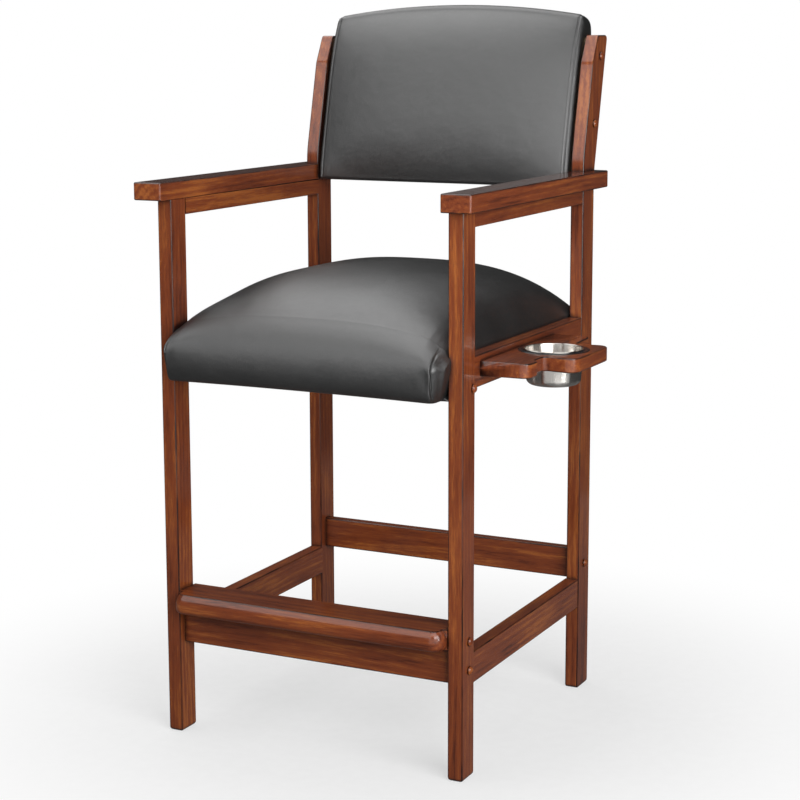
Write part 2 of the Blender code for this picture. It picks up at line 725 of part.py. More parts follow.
def seat_dust_cover(chair):
    """Black lining stapled under the deck, with its corners cut off round the blocks."""
    half = RAIL_INNER - COVER_INSET
    front, rear = FRONT_RAIL_BACK + COVER_INSET, REAR_RAIL_FACE - COVER_INSET
    cut_off = BLOCK_LEG
    outline = (
        (-half + cut_off, front), (half - cut_off, front), (half, front + cut_off),
        (half, rear - cut_off), (half - cut_off, rear), (-half + cut_off, rear),
        (-half, rear - cut_off), (-half, front + cut_off),
    )
    high = DECK_UNDERSIDE - CLEAR
    return piece("seat_dust_cover", prism(outline, high - COVER_THICKNESS, high, "Z"), LINING, chair,
                 (0.0, 0.0, high))


def seat_height(across, along):
    """Height of the seat cushion's top; both shares run from -1 to 1."""
    power = SEAT_FRONT_POWER if along < 0 else SEAT_REAR_POWER
    swell = (1 - abs(across) ** SEAT_ACROSS_POWER) * (1 - abs(along) ** power)
    return SEAT_RAIL_TOP + SEAT_EDGE_RISE + SEAT_CROWN * swell


def nose_point(across, y, z):
    """A point of the nose: round the corner in plan, out into the ear and down over the end."""
    edge = SEAT_RAIL_TOP + SEAT_EDGE_RISE
    legs = FRONT_FACE - CLEAR
    half = RAIL_INNER - CLEAR
    depth = legs - y
    depth -= depth * SEAT_CORNER_PULL / SEAT_OVERHANG * late(across, SEAT_CORNER_SHARE) ** SEAT_CORNER_POWER
    root = (1 - min(1.0, depth / SEAT_EAR_DEPTH)) ** 2
    swell = 1 - (1 - SEAT_EAR_ROOT_SHARE) * root
    level = max(0.0, (edge - z) / (edge - SEAT_NOSE_LOW))
    fold = SEAT_FOLD_SHARE * (half + SEAT_EAR)
    reach = half + SEAT_EAR * swell * (1 - level ** 2) - SEAT_NOSE_TUCK * level
    if abs(across) < SEAT_FOLD_SHARE:
        x = across * (half + SEAT_EAR)
    else:
        x = math.copysign(fold + late(across, SEAT_FOLD_SHARE) * (reach - fold), across)
    drop = SEAT_EAR_DROP * late(across, SEAT_DROP_SHARE) ** SEAT_DROP_POWER * swell
    if abs(across) == SEAT_FOLD_SHARE and z < edge:
        depth -= SEAT_FOLD_DEPTH * depth / SEAT_OVERHANG
    return x, legs - depth, z - drop * (1 - level)


def seat_section(across):
    """One section of the seat cushion, square to X: its body between the legs, then its nose."""
    edge = SEAT_RAIL_TOP + SEAT_EDGE_RISE
    face = FRONT_FACE - SEAT_OVERHANG
    legs = FRONT_FACE - CLEAR
    nose_back = FRONT_RAIL_FACE - CLEAR
    underside = DECK_TOP + CLEAR
    rear = REAR_RAIL_BACK
    crest = face + (rear - face) * SEAT_CREST_SHARE
    legs_share = (legs - crest) / (crest - face)

    def top(along):
        reach = crest - face if along < 0 else rear - crest
        return crest + along * reach, seat_height(across, along)

    body = [(legs, SEAT_NOSE_LOW), (nose_back, SEAT_NOSE_LOW), (nose_back, underside), (crest, underside),
            (rear, underside), (rear, edge)]
    body += [top(along) for along in (*SEAT_TOP_SHARES, legs_share)]
    nose = [(legs - SEAT_STEP, top(legs_share)[1])]
    nose += [top(along) for along in SEAT_NOSE_SHARES]
    low_turn = SEAT_NOSE_LOW + SEAT_NOSE_RADIUS
    for step in range(ARC_STEPS):
        share = step / ARC_STEPS
        bulge = SEAT_FRONT_BULGE * math.sin(math.pi * share)
        nose.append((face - bulge, edge + (low_turn - edge) * share))
    nose += quarter((face, low_turn), (face + SEAT_NOSE_RADIUS, SEAT_NOSE_LOW), ARC_STEPS, False)
    nose += [(legs - SEAT_EAR_DEPTH, SEAT_NOSE_LOW), (legs - SEAT_STEP, SEAT_NOSE_LOW)]
    half = RAIL_INNER - CLEAR
    return [(across * half, *spot) for spot in body], [nose_point(across, *spot) for spot in nose]


def seat_cushion(chair):
    """Crowned seat that drops over the front rail, with ears before the legs and a fold at each end."""
    shares = [-share for share in SEAT_STATION_SHARES[:0:-1]] + list(SEAT_STATION_SHARES)
    shape = bmesh.new()
    loops = []
    for share in shares:
        body, nose = seat_section(share)
        loops.append([shape.verts.new(spot) for spot in body + nose])
    skin(shape, loops, closed_ends=False)
    for loop in (loops[0], loops[-1]):
        shape.faces.new(loop[:len(body)])
        shape.faces.new(loop[len(body):])
        shape.faces.new((loop[0], loop[len(body) - 1], loop[len(body)], loop[-1]))
    return piece("seat_cushion", shape, VINYL, chair, (0.0, 0.0, DECK_TOP), math.radians(40))


def pad_section(across):
    """One section of the back pad as (along, back), level below and open behind for the board."""
    high = PAD_HIGH + PAD_TOP_CROWN * (1 - across * across)
    high -= PAD_CORNER_DROP * rounded_off(late(across, PAD_CORNER_SHARE))
    span = high - PAD_LOW
    crown = PAD_FRONT_CROWN * (1 - abs(across) ** PAD_ACROSS_POWER)
    roll = PAD_SIDE_ROLL * rounded_off(late(across, PAD_SEAM_SHARE))

    def front(share):
        swept = PAD_SWEEP * ((share - PAD_SWEEP_SHARE) / (1 - PAD_SWEEP_SHARE)) ** PAD_SWEEP_POWER
        swell = crown * (1 - abs(2 * share - 1) ** PAD_UPRIGHT_POWER)
        return PAD_LOW + span * share, swept - PAD_PROUD - swell + roll

    def low(back):
        return PAD_LOW + back * math.tan(POST_RAKE)

    turn = front(PAD_LOWER_RADIUS / span)
    heel = turn[1] + PAD_LOWER_RADIUS
    points = quarter((low(heel), heel), turn, ARC_STEPS, False)
    points += [front(share) for share in PAD_FRONT_SHARES]
    shoulder = front(PAD_ROLL_SHARE)
    first_flat, last_flat = [shoulder[1] + share * (PAD_BACK - shoulder[1]) for share in PAD_TOP_FLAT_SHARES]
    points += quarter(shoulder, (high, first_flat), ARC_STEPS, True)
    points += quarter((high, last_flat), (high - PAD_REAR_ROLL, PAD_BACK), ARC_STEPS, False)
    pocket = BOARD_SETBACK - BOARD_THICKNESS / 2 - CLEAR
    points += [(BOARD_HIGH + CLEAR, PAD_BACK), (BOARD_HIGH + CLEAR, pocket), (BOARD_LOW - CLEAR, pocket),
               (BOARD_LOW - CLEAR, PAD_BACK), (low(PAD_BACK), PAD_BACK)]
    return points


def back_cushion(chair):
    """Crowned back pad that wraps over the top and bottom of the board."""
    half = POST_INNER - PAD_SIDE_GAP
    shares = [-share for share in PAD_STATION_SHARES[:0:-1]] + list(PAD_STATION_SHARES)
    shape = bmesh.new()
    loops = []
    for share in shares:
        spots = [leaning(along, back) for along, back in pad_section(share)]
        loops.append([shape.verts.new((share * half, y, z)) for y, z in spots])
    skin(shape, loops)
    return piece("back_cushion", shape, VINYL, chair, (0.0, *leaning(PAD_LOW, 0.0)), math.radians(40))


def leaning_slab(half, low, high, face, back):
    """A flat slab that leans with the posts."""
    corners = ((low, face), (high, face), (high, back), (low, back))
    return prism([leaning(*corner) for corner in corners], -half, half, "X")


def back_board(chair):
    """Board between the posts that the back pad is built on."""
    shape = leaning_slab(POST_INNER - CLEAR, BOARD_LOW, BOARD_HIGH,
                         BOARD_SETBACK - BOARD_THICKNESS / 2, BOARD_SETBACK + BOARD_THICKNESS / 2)
    made = piece("back_board", shape, PLY, chair, (0.0, *leaning(BOARD_LOW, BOARD_SETBACK)))
    names = tuple("back_" + level for level, _ in BOARD_SCREW_SHARES)
    return cut(made, frame_bores(names), chair)


def back_rear_pad(chair):
    """Thin covered panel that closes the back pad from behind."""
    face = BOARD_SETBACK + BOARD_THICKNESS / 2 + CLEAR
    shape = leaning_slab(POST_INNER - PAD_SIDE_GAP, BOARD_LOW, BOARD_HIGH, face, face + REAR_PAD_THICKNESS)
    made = piece("back_rear_pad", shape, VINYL, chair, (0.0, *leaning(BOARD_LOW, face)))
    return eased(made, REAR_PAD_EASE)


def bracket_outline():
    """Plan of the cup bracket: a base along the rail, a neck on each side and a flared head."""
    half = (
        (RAIL_OUTER + CLEAR, BRACKET_LENGTH / 2, 0.0),
        (RAIL_OUTER + BRACKET_BASE_REACH, BRACKET_LENGTH / 2, BRACKET_BASE_RADIUS),
        (RAIL_OUTER + BRACKET_BASE_REACH, BRACKET_SHOULDER_LENGTH / 2, BRACKET_NOTCH_RADIUS),
        (RAIL_OUTER + BRACKET_NECK_REACH, BRACKET_NOTCH_LENGTH / 2, BRACKET_NOTCH_RADIUS),
        (RAIL_OUTER + BRACKET_NECK_REACH, BRACKET_NECK_LENGTH / 2, BRACKET_NECK_RADIUS),
        (RAIL_OUTER + BRACKET_REACH, BRACKET_FLARE_LENGTH / 2, BRACKET_FLARE_RADIUS),
    )
    front = [(x, BRACKET_CENTRE_Y - y, radius) for x, y, radius in half]
    rear = [(x, BRACKET_CENTRE_Y + y, radius) for x, y, radius in reversed(half)]
    return filleted(front + rear, BRACKET_ARC_STEPS)


def bracket_screws():
    """The name and frame of each screw that holds the bracket, from inside the seat rail."""
    reach = BRACKET_SCREW_SHARE * BRACKET_LENGTH / 2
    places = []
    for name, end in ENDS:
        place = outward(-1, BRACKET_CENTRE_Y + end * reach, BRACKET_MIDDLE, -RAIL_INNER)
        places.append((name, place))
    return places


def bracket_bores():
    """The holes for the bracket's screws."""
    shape = bmesh.new()
    for _, place in bracket_screws():
        add_turned(shape, bore_profile(0, BRACKET_SCREW_LENGTH), SCREW_SIDES, place)
    return shape


def cup_bracket(chair):
    """Wooden bracket on the left seat rail, bored and rebated for the ring and cup."""
    shape = prism(bracket_outline(), BRACKET_TOP - BRACKET_THICKNESS, BRACKET_TOP, "Z")
    made = eased(piece("cup_bracket", shape, WOOD, chair, (RAIL_OUTER, BRACKET_CENTRE_Y, BRACKET_TOP)))
    hole = RING_BORE / 2 + RING_WALL + CLEAR
    rebate = RING_DIAMETER / 2 + CLEAR
    floor = RING_TOP - RING_FLANGE - CLEAR
    under, over = BRACKET_TOP - BRACKET_THICKNESS - OVERRUN, BRACKET_TOP + OVERRUN
    profile = ((0, under), (hole, under), (hole, floor), (rebate, floor), (rebate, over), (0, over))
    cutter = turned(profile, CUP_SIDES, Matrix.Translation((CUP_X, BRACKET_CENTRE_Y, 0.0)))
    cut(made, cutter, chair)
    return cut(made, bracket_bores(), chair)


def cup_ring(chair):
    """Black ring let into the bracket, which lines the hole and carries the cup's lip."""
    bore, outside = RING_BORE / 2, RING_DIAMETER / 2
    wall = bore + RING_WALL
    profile = ((bore, -RING_DEPTH), (wall, -RING_DEPTH), (wall, -RING_FLANGE), (outside, -RING_FLANGE),
               (outside, -RING_EDGE), (outside - RING_EDGE, 0), (bore, 0))
    shape = turned(profile, CUP_SIDES, closed=True)
    made = piece("cup_ring", shape, RUBBER, chair, smooth_angle=math.radians(50))
    made.location = (CUP_X, BRACKET_CENTRE_Y, RING_TOP)
    return made


def cup_profile():
    """Half section of the cup; height zero is the underside of its lip."""
    base, top, lip = CUP_BASE_DIAMETER / 2, CUP_TOP_DIAMETER / 2, CUP_LIP_DIAMETER / 2
    inner_round = CUP_BASE_RADIUS - CUP_WALL
    outside = [(0, -CUP_DEPTH)]
    outside += quarter((base - CUP_BASE_RADIUS, -CUP_DEPTH), (base, -CUP_DEPTH + CUP_BASE_RADIUS),
                       CUP_ARC_STEPS, True)
    outside += [(top, 0), (lip - CUP_LIP_THICKNESS / 2, 0), (lip, CUP_LIP_THICKNESS / 2),
                (lip - CUP_LIP_THICKNESS / 2, CUP_LIP_THICKNESS)]
    inside = [(top - CUP_WALL, CUP_LIP_THICKNESS)]
    floor = -CUP_DEPTH + CUP_WALL
    inside += quarter((base - CUP_WALL, floor + inner_round), (base - CUP_WALL - inner_round, floor),
                      CUP_ARC_STEPS, False)
    return outside + inside + [(0, floor)]


def cup(chair):
    """Steel cup that drops into the ring; its origin is on the line that it lifts out along."""
    holder = empty("cup_lift", (CUP_X, BRACKET_CENTRE_Y, RING_TOP + CLEAR), chair)
    return piece("cup", turned(cup_profile(), CUP_SIDES), STEEL, holder, smooth_angle=math.radians(35))


def screws_and_buttons(chair):
    """The screws through the legs and the domed buttons over their heads."""
    stem, dome = BUTTON_STEM_DIAMETER / 2, BUTTON_DIAMETER / 2
    button = [(0, -BUTTON_STEM_LENGTH), (stem, -BUTTON_STEM_LENGTH), (stem, CLEAR), (dome, CLEAR)]
    for step in range(1, CUP_ARC_STEPS + 1):
        turn = math.pi / 2 * step / (CUP_ARC_STEPS + 1)
        button.append((dome * math.cos(turn), CLEAR + BUTTON_RISE * math.sin(turn)))
    button.append((0, CLEAR + BUTTON_RISE))
    profile = screw_profile(BUTTON_STEM_LENGTH, FRAME_SCREW_LENGTH)
    for where, side in SIDES:
        for name, y, z in frame_screws():
            place = outward(side, y, z, LEG_OUTER)
            origin = place.translation
            piece(f"{name}_screw_{where}", turned(profile, SCREW_SIDES, place), ZINC, chair, origin)
            piece(f"{name}_button_{where}", turned(button, SCREW_SIDES, place), WOOD, chair, origin,
                  math.radians(40))


def hidden_screws(chair):
    """The screws of the deck and of the cup bracket."""
    for side_name, side in SIDES:
        for end_name, end in ENDS:
            place = deck_screw_place(side, end)
            shape = turned(screw_profile(SCREW_RECESS, DECK_SCREW_LENGTH), SCREW_SIDES, place)
            piece(f"deck_screw_{end_name}_{side_name}", shape, ZINC, chair, place.translation)
    for end_name, place in bracket_screws():
        shape = turned(screw_profile(0, BRACKET_SCREW_LENGTH), SCREW_SIDES, place)
        piece(f"bracket_screw_{end_name}", shape, ZINC, chair, place.translation)


def frame(chair):
    """Legs, posts, arms and rails."""
    for where, side in SIDES:
        front_leg("front_leg_" + where, side, chair)
        rear_post("rear_post_" + where, side, chair)
        armrest("armrest_" + where, side, chair)
        for name, low, high in side_rails():
            made = side_rail(f"{name}_{where}", side, low, high, chair)
            if name == "seat_side_rail" and side > 0:
                cut(made, bracket_bores(), chair)
        for end_name, end in ENDS:
            corner_block(f"corner_block_{end_name}_{where}", side, end, chair)
    seat_front_rail(chair)
    seat_rear_rail(chair)
    front_stretcher(chair)
    rear_stretcher(chair)
    footrest_board(chair)


def upholstery(chair):
    """Deck, cushions and the board in the back."""
    seat_deck(chair)
    seat_dust_cover(chair)
    seat_cushion(chair)
    back_board(chair)
    back_cushion(chair)
    back_rear_pad(chair)


def chair_place():
    """Where the chair's middle stands so that the box of the whole object is centred on the origin."""
    front = FRONT_FACE - SEAT_OVERHANG - SEAT_FRONT_BULGE
    rear = max(leaning(*spot)[0] for spot in pad_section(0.0))
    return (ARM_OUTER - RAIL_OUTER - BRACKET_REACH) / 2, -(front + rear) / 2, 0.0


def main():
    """Build the chair."""
    clear_scene()
    chair = empty("chair", chair_place())
    frame(chair)
    upholstery(chair)
    cup_bracket(chair)
    cup_ring(chair)
    cup(chair)
    screws_and_buttons(chair)
    hidden_screws(chair)


main()
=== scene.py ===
"""Looks of a bar-height wooden armchair: stained frame, vinyl upholstery, steel cup, studio and camera.

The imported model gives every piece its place. Metres, +Z up. The chair faces -Y, so the sitter's left is +X.
"""
import logging
import math
import random
from dataclasses import dataclass, field
from enum import Enum

import bmesh
import bpy
import numpy
from mathutils import Matrix, Vector
from mathutils.bvhtree import BVHTree


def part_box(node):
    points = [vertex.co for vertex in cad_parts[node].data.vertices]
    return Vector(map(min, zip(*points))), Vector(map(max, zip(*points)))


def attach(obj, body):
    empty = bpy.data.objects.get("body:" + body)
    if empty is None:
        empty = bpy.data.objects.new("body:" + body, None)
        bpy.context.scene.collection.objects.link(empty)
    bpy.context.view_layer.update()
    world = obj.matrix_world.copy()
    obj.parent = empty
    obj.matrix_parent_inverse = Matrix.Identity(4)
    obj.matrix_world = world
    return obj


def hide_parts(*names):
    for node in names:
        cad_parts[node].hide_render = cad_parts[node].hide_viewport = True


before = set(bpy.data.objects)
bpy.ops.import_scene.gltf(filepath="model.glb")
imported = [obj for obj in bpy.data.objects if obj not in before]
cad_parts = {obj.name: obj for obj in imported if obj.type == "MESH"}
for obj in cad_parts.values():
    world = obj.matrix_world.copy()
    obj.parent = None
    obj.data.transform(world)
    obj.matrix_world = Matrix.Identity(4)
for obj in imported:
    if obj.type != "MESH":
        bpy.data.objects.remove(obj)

LOG = logging.getLogger("armchair")
CHAIR_BODY = "chair"
CUP_BODY = "cup"
CLEAR = 0.0003
MERGE = 1e-6

WHITE = (1.0, 1.0, 1.0)
HALF = (0.5, 0.5, 0.5)
SMALL_ROUNDING = 0.007
SHARPEST_INSET = 0.2
PITH_RANGE = (0.035, 0.085)
LOG_REACH = 3

Point = tuple[float, float]
Triple = tuple[float, float, float]
Colour = Triple
Feed = float | tuple | bpy.types.NodeSocket
Loop = list[bmesh.types.BMVert]


class Side(Enum):
    """A side of the chair, as the sitter sees it, and the sign of its X."""
    LEFT = 1
    RIGHT = -1

    @property
    def word(self) -> str:
        """The side's word in the names of pieces."""
        return self.name.lower()


class Grain(Enum):
    """The axis that a board's fibres follow."""
    ACROSS = 0
    ALONG = 1
    UP = 2


class GrainSource(Enum):
    """Where a wood finish reads the run of its fibres."""
    BOARD = "grain"
    SOLID = "object"


class Slot(Enum):
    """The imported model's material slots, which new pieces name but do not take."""
    WOOD = "wood"
    VINYL = "vinyl"
    RING = "ring"
    STEEL = "steel"


class Graph:
    """A node tree, filled from left to right."""

    def __init__(self, tree: bpy.types.NodeTree) -> None:
        """Start from an empty tree."""
        self.tree = tree
        self.tree.nodes.clear()

    def add(self, kind: str, feeds: dict | None = None, **settings: object) -> bpy.types.Node:
        """Add a node.

        Args:
            kind: The node's type.
            feeds: What goes into its sockets, by name or index.
            settings: The node's own options.

        Returns:
            The new node.
        """
        node = self.tree.nodes.new(kind)
        for option, value in settings.items():
            setattr(node, option, value)
        for key, source in (feeds or {}).items():
            self.feed(node.inputs[key], source)
        return node

    def feed(self, socket: bpy.types.NodeSocket, source: Feed) -> None:
        """Link a socket or give it a value.

        Args:
            socket: The socket that is fed.
            source: Another socket, a number, a vector or a colour.
        """
        if isinstance(source, bpy.types.NodeSocket):
            self.tree.links.new(source, socket)
        elif socket.type == "RGBA" and len(source) == 3:
            socket.default_value = (*source, 1.0)
        else:
            socket.default_value = source

    def math(self, operation: str, *values: Feed, clamp: bool = False) -> bpy.types.NodeSocket:
        """One step of arithmetic on the values; a clamped result stays between zero and one."""
        node = self.add("ShaderNodeMath", dict(enumerate(values)), operation=operation, use_clamp=clamp)
        return node.outputs[0]

    def vector_math(self, operation: str, first: Feed, second: Feed) -> bpy.types.NodeSocket:
        """One step of arithmetic on vectors."""
        return self.add("ShaderNodeVectorMath", {0: first, 1: second}, operation=operation).outputs[0]

    def remap(self, value: Feed, start: Point, end: Point) -> bpy.types.NodeSocket:
        """Carry a value softly from its start range over to its end range, held within the ends."""
        feeds = {0: value, 1: start[0], 2: start[1], 3: end[0], 4: end[1]}
        return self.add("ShaderNodeMapRange", feeds, interpolation_type="SMOOTHSTEP").outputs[0]

    def mixed(self, share: Feed, first: Feed, second: Feed) -> bpy.types.NodeSocket:
        """Mix two colours.

        Args:
            share: How much of the second colour shows.
            first: The first colour.
            second: The second colour.

        Returns:
            The mixed colour's socket.
        """
        return self.add("ShaderNodeMix", {0: share, 6: first, 7: second}, data_type="RGBA").outputs[2]

    def ramp(self, value: Feed, stops: list[tuple[float, Colour]]) -> bpy.types.NodeSocket:
        """Colours along a scale.

        Args:
            value: The place on the scale.
            stops: Each colour and its place.

        Returns:
            The colour's socket.
        """
        node = self.add("ShaderNodeValToRGB", {0: value})
        node.color_ramp.interpolation = "EASE"
        elements = node.color_ramp.elements
        while len(elements) < len(stops):
            elements.new(0.5)
        for element, (place, colour) in zip(elements, stops):
            element.position = place
            element.color = (*colour, 1.0)
        return node.outputs[0]

    def place(self) -> bpy.types.NodeSocket:
        """The place on the object."""
        return self.add("ShaderNodeTexCoord").outputs["Object"]

    def mark(self, name: str) -> bpy.types.NodeSocket:
        """How much of a named mark each point of the mesh carries."""
        return self.add("ShaderNodeAttribute", attribute_name=name).outputs["Fac"]

    def glow(self, level: float) -> bpy.types.NodeSocket:
        """An even white glow."""
        return self.add("ShaderNodeEmission", {"Color": WHITE, "Strength": level}).outputs[0]

    def noise(self, where: Feed, scale: Triple, detail: float = 2.0) -> bpy.types.Node:
        """Noise of a scale in steps to the metre along each axis, with so many finer layers."""
        stretched = self.vector_math("MULTIPLY", where, scale)
        return self.add("ShaderNodeTexNoise", {"Vector": stretched, "Scale": 1.0, "Detail": detail})

    def shaken(self, where: Feed, scale: Triple, detail: float, reach: Triple) -> bpy.types.NodeSocket:
        """A place that noise pushes about, by up to half the reach in metres each way."""
        push = self.vector_math("SUBTRACT", self.noise(where, scale, detail).outputs["Color"], HALF)
        return self.vector_math("ADD", where, self.vector_math("MULTIPLY", push, reach))

    def bump(self, height: Feed, distance: float, under: Feed | None = None) -> bpy.types.NodeSocket:
        """Relief from a height.

        Args:
            height: The height, from zero to one.
            distance: How deep the relief is, in metres.
            under: Relief that this one lies on.

        Returns:
            The normal's socket.
        """
        feeds = {"Height": height, "Distance": distance, "Strength": 1.0}
        if under is not None:
            feeds["Normal"] = under
        return self.add("ShaderNodeBump", feeds).outputs[0]

    def surface(self, **sockets: Feed) -> None:
        """Finish the tree with a principled shader.

        Args:
            sockets: What goes into its sockets; an underscore stands for a space.
        """
        shader = self.add("ShaderNodeBsdfPrincipled")
        for key, source in sockets.items():
            self.feed(shader.inputs[key.replace("_", " ")], source)
        self.add("ShaderNodeOutputMaterial", {0: shader.outputs[0]})


def new_graph(name: str) -> tuple[bpy.types.Material, Graph]:
    """Start a material.

    Args:
        name: The material's name.

    Returns:
        The material and its graph.
    """
    material = bpy.data.materials.new(name)
    material.use_nodes = True
    return material, Graph(material.node_tree)


class Finish:
    """A procedural finish."""

    def paint(self, graph: Graph) -> None:
        """Fill the graph of the finish's material."""
        raise NotImplementedError

    def material(self, name: str) -> bpy.types.Material:
        """Make the finish.

        Args:
            name: The material's name.

        Returns:
            The material.
        """
        material, graph = new_graph(name)
        self.paint(graph)
        return material


@dataclass(frozen=True)
class StainedWood(Finish):
    """Hardwood under a red-brown stain and a satin lacquer, with a dark glazing on the arrises, glazing and
    painted shade in the joints and corners, and painted shade on level faces.

    A scale counts steps to the metre along the fibres and in the two directions across them.
    """
    source: GrainSource
    deep: Colour = (0.080, 0.017, 0.007)
    mid: Colour = (0.190, 0.042, 0.0125)
    bright: Colour = (0.340, 0.100, 0.022)
    # level: the colour of the painted shade on level faces, where less light falls
    level: Colour = (0.026, 0.007, 0.004)
    # The dark glazing colour: glazing on the arrises, and glazing with painted shade in joints and corners
    glaze: Colour = (0.014, 0.005, 0.004)
    drift_scale: Triple = (2.2, 11.0, 11.0)
    drift: Triple = (0.0, 0.022, 0.022)
    ring_scale: float = 30.0
    ring_distortion: float = 1.2
    ring_detail: float = 0.6
    streak_scale: Triple = (9.0, 210.0, 210.0)
    fibre_scale: Triple = (34.0, 1100.0, 1100.0)
    pore_scale: Triple = (120.0, 2600.0, 2600.0)
    pore_range: Point = (0.60, 0.70)
    pore_stain: float = 0.35
    pore_depth: float = 0.8
    patch_scale: Triple = (5.0, 19.0, 19.0)
    pool_scale: Triple = (14.0, 60.0, 60.0)
    pool_range: Point = (0.36, 0.62)
    pool_shares: Point = (0.60, 1.0)
    ring_weight: float = 0.10
    streak_weight: float = 0.46
    fibre_weight: float = 0.46
    patch_weight: float = 0.56
    tone: float = 0.45
    tone_places: Triple = (0.26, 0.49, 0.72)
    # Painted shade on level faces: the range of the normal's upward part over which it comes in, and its
    # strength
    facing_range: Point = (0.55, 0.95)
    level_share: float = 0.80
    # Glazing in the joints with painted shade in corners and under overhangs, from ambient occlusion: its
    # reach, range and strength
    glaze_reach: float = 0.011
    glaze_range: Point = (0.46, 0.90)
    glaze_share: float = 0.92
    roughness: float = 0.40
    roughness_width: float = 0.10
    fibre_relief: float = 0.00012
    patch_relief: float = 0.0012
    gloss: float = 0.12
    coat: float = 0.90
    coat_roughness: float = 0.14

    def paint(self, graph: Graph) -> None:
        """Fill the graph.

        Args:
            graph: The material's graph.
        """
        if self.source is GrainSource.BOARD:
            where = graph.add("ShaderNodeAttribute", attribute_name="grain").outputs["Vector"]
            arris = graph.mark("arris")
        else:
            where, arris = graph.place(), 0.0
        bent = graph.shaken(where, self.drift_scale, 1.0, self.drift)
        streaks = graph.noise(bent, self.streak_scale, 3.0).outputs[0]
        fibres = graph.noise(bent, self.fibre_scale).outputs[0]
        patches = graph.noise(where, self.patch_scale).outputs[0]
        pores = graph.remap(graph.noise(where, self.pore_scale, 0.0).outputs[0], self.pore_range, (0.0, 1.0))
        colour = self.stain(graph, self.rings(graph, bent), (streaks, fibres, patches))
        colour = graph.mixed(graph.math("MULTIPLY", pores, self.pore_stain), colour, self.deep)
        pooled = graph.noise(where, self.pool_scale).outputs[0]
        pooled = graph.remap(pooled, self.pool_range, self.pool_shares)
        colour = graph.mixed(graph.math("MULTIPLY", arris, pooled), colour, self.glaze)
        # Painted shade: on marked pieces, faces that look up are darkened towards the level colour
        facing = graph.add("ShaderNodeNewGeometry").outputs["Normal"]
        facing = graph.add("ShaderNodeSeparateXYZ", {0: facing}).outputs[2]
        top_shade_mask = graph.remap(facing, self.facing_range, (0.0, self.level_share))
        colour = graph.mixed(graph.math("MULTIPLY", graph.mark("shaded"), top_shade_mask), colour, self.level)
        # Glazing in the joints and painted shade in corners and under overhangs: ambient occlusion darkens
        # them towards the dark glazing colour
        crowding = graph.add("ShaderNodeAmbientOcclusion", {"Distance": self.glaze_reach}, samples=6)
        glaze_and_painted_shade = graph.remap(crowding.outputs["AO"], self.glaze_range, (self.glaze_share, 0.0))
        colour = graph.mixed(glaze_and_painted_shade, colour, self.glaze)
        smoothest = self.roughness - self.roughness_width / 2
        relief = graph.math("SUBTRACT", fibres, graph.math("MULTIPLY", pores, self.pore_depth))
        normal = graph.bump(patches, self.patch_relief, graph.bump(relief, self.fibre_relief))
        graph.surface(Base_Color=colour, Normal=normal, Specular_IOR_Level=self.gloss,
                      Roughness=graph.math("MULTIPLY_ADD", streaks, self.roughness_width, smoothest),
                      Coat_Weight=self.coat, Coat_Roughness=self.coat_roughness)

    def rings(self, graph: Graph, where: Feed) -> bpy.types.NodeSocket:
        """The year rings round the log's heart.

        Args:
            graph: The graph that they join.
            where: The place in the log.

        Returns:
            The socket of their pattern.
        """
        feeds = {"Vector": where, "Scale": self.ring_scale, "Distortion": self.ring_distortion,
                 "Detail": 2.0, "Detail Scale": self.ring_detail}
        return graph.add("ShaderNodeTexWave", feeds, wave_type="RINGS", rings_direction="X").outputs["Fac"]

    def stain(self, graph: Graph, rings: Feed, others: tuple[Feed, ...]) -> bpy.types.NodeSocket:
        """The stain's colour, from the figure of the wood.

        Args:
            graph: The graph that it joins.
            rings: The year rings.
            others: The broad streaks, the fine fibres and the mottled patches.

        Returns:
            The colour's socket.
        """
        tone = graph.math("MULTIPLY", rings, self.ring_weight)
        for part, weight in zip(others, (self.streak_weight, self.fibre_weight, self.patch_weight)):
            tone = graph.math("ADD", tone, graph.math("MULTIPLY", graph.math("SUBTRACT", part, 0.5), weight))
        tone = graph.math("ADD", tone, self.tone, clamp=True)
        return graph.ramp(tone, list(zip(self.tone_places, (self.deep, self.mid, self.bright))))


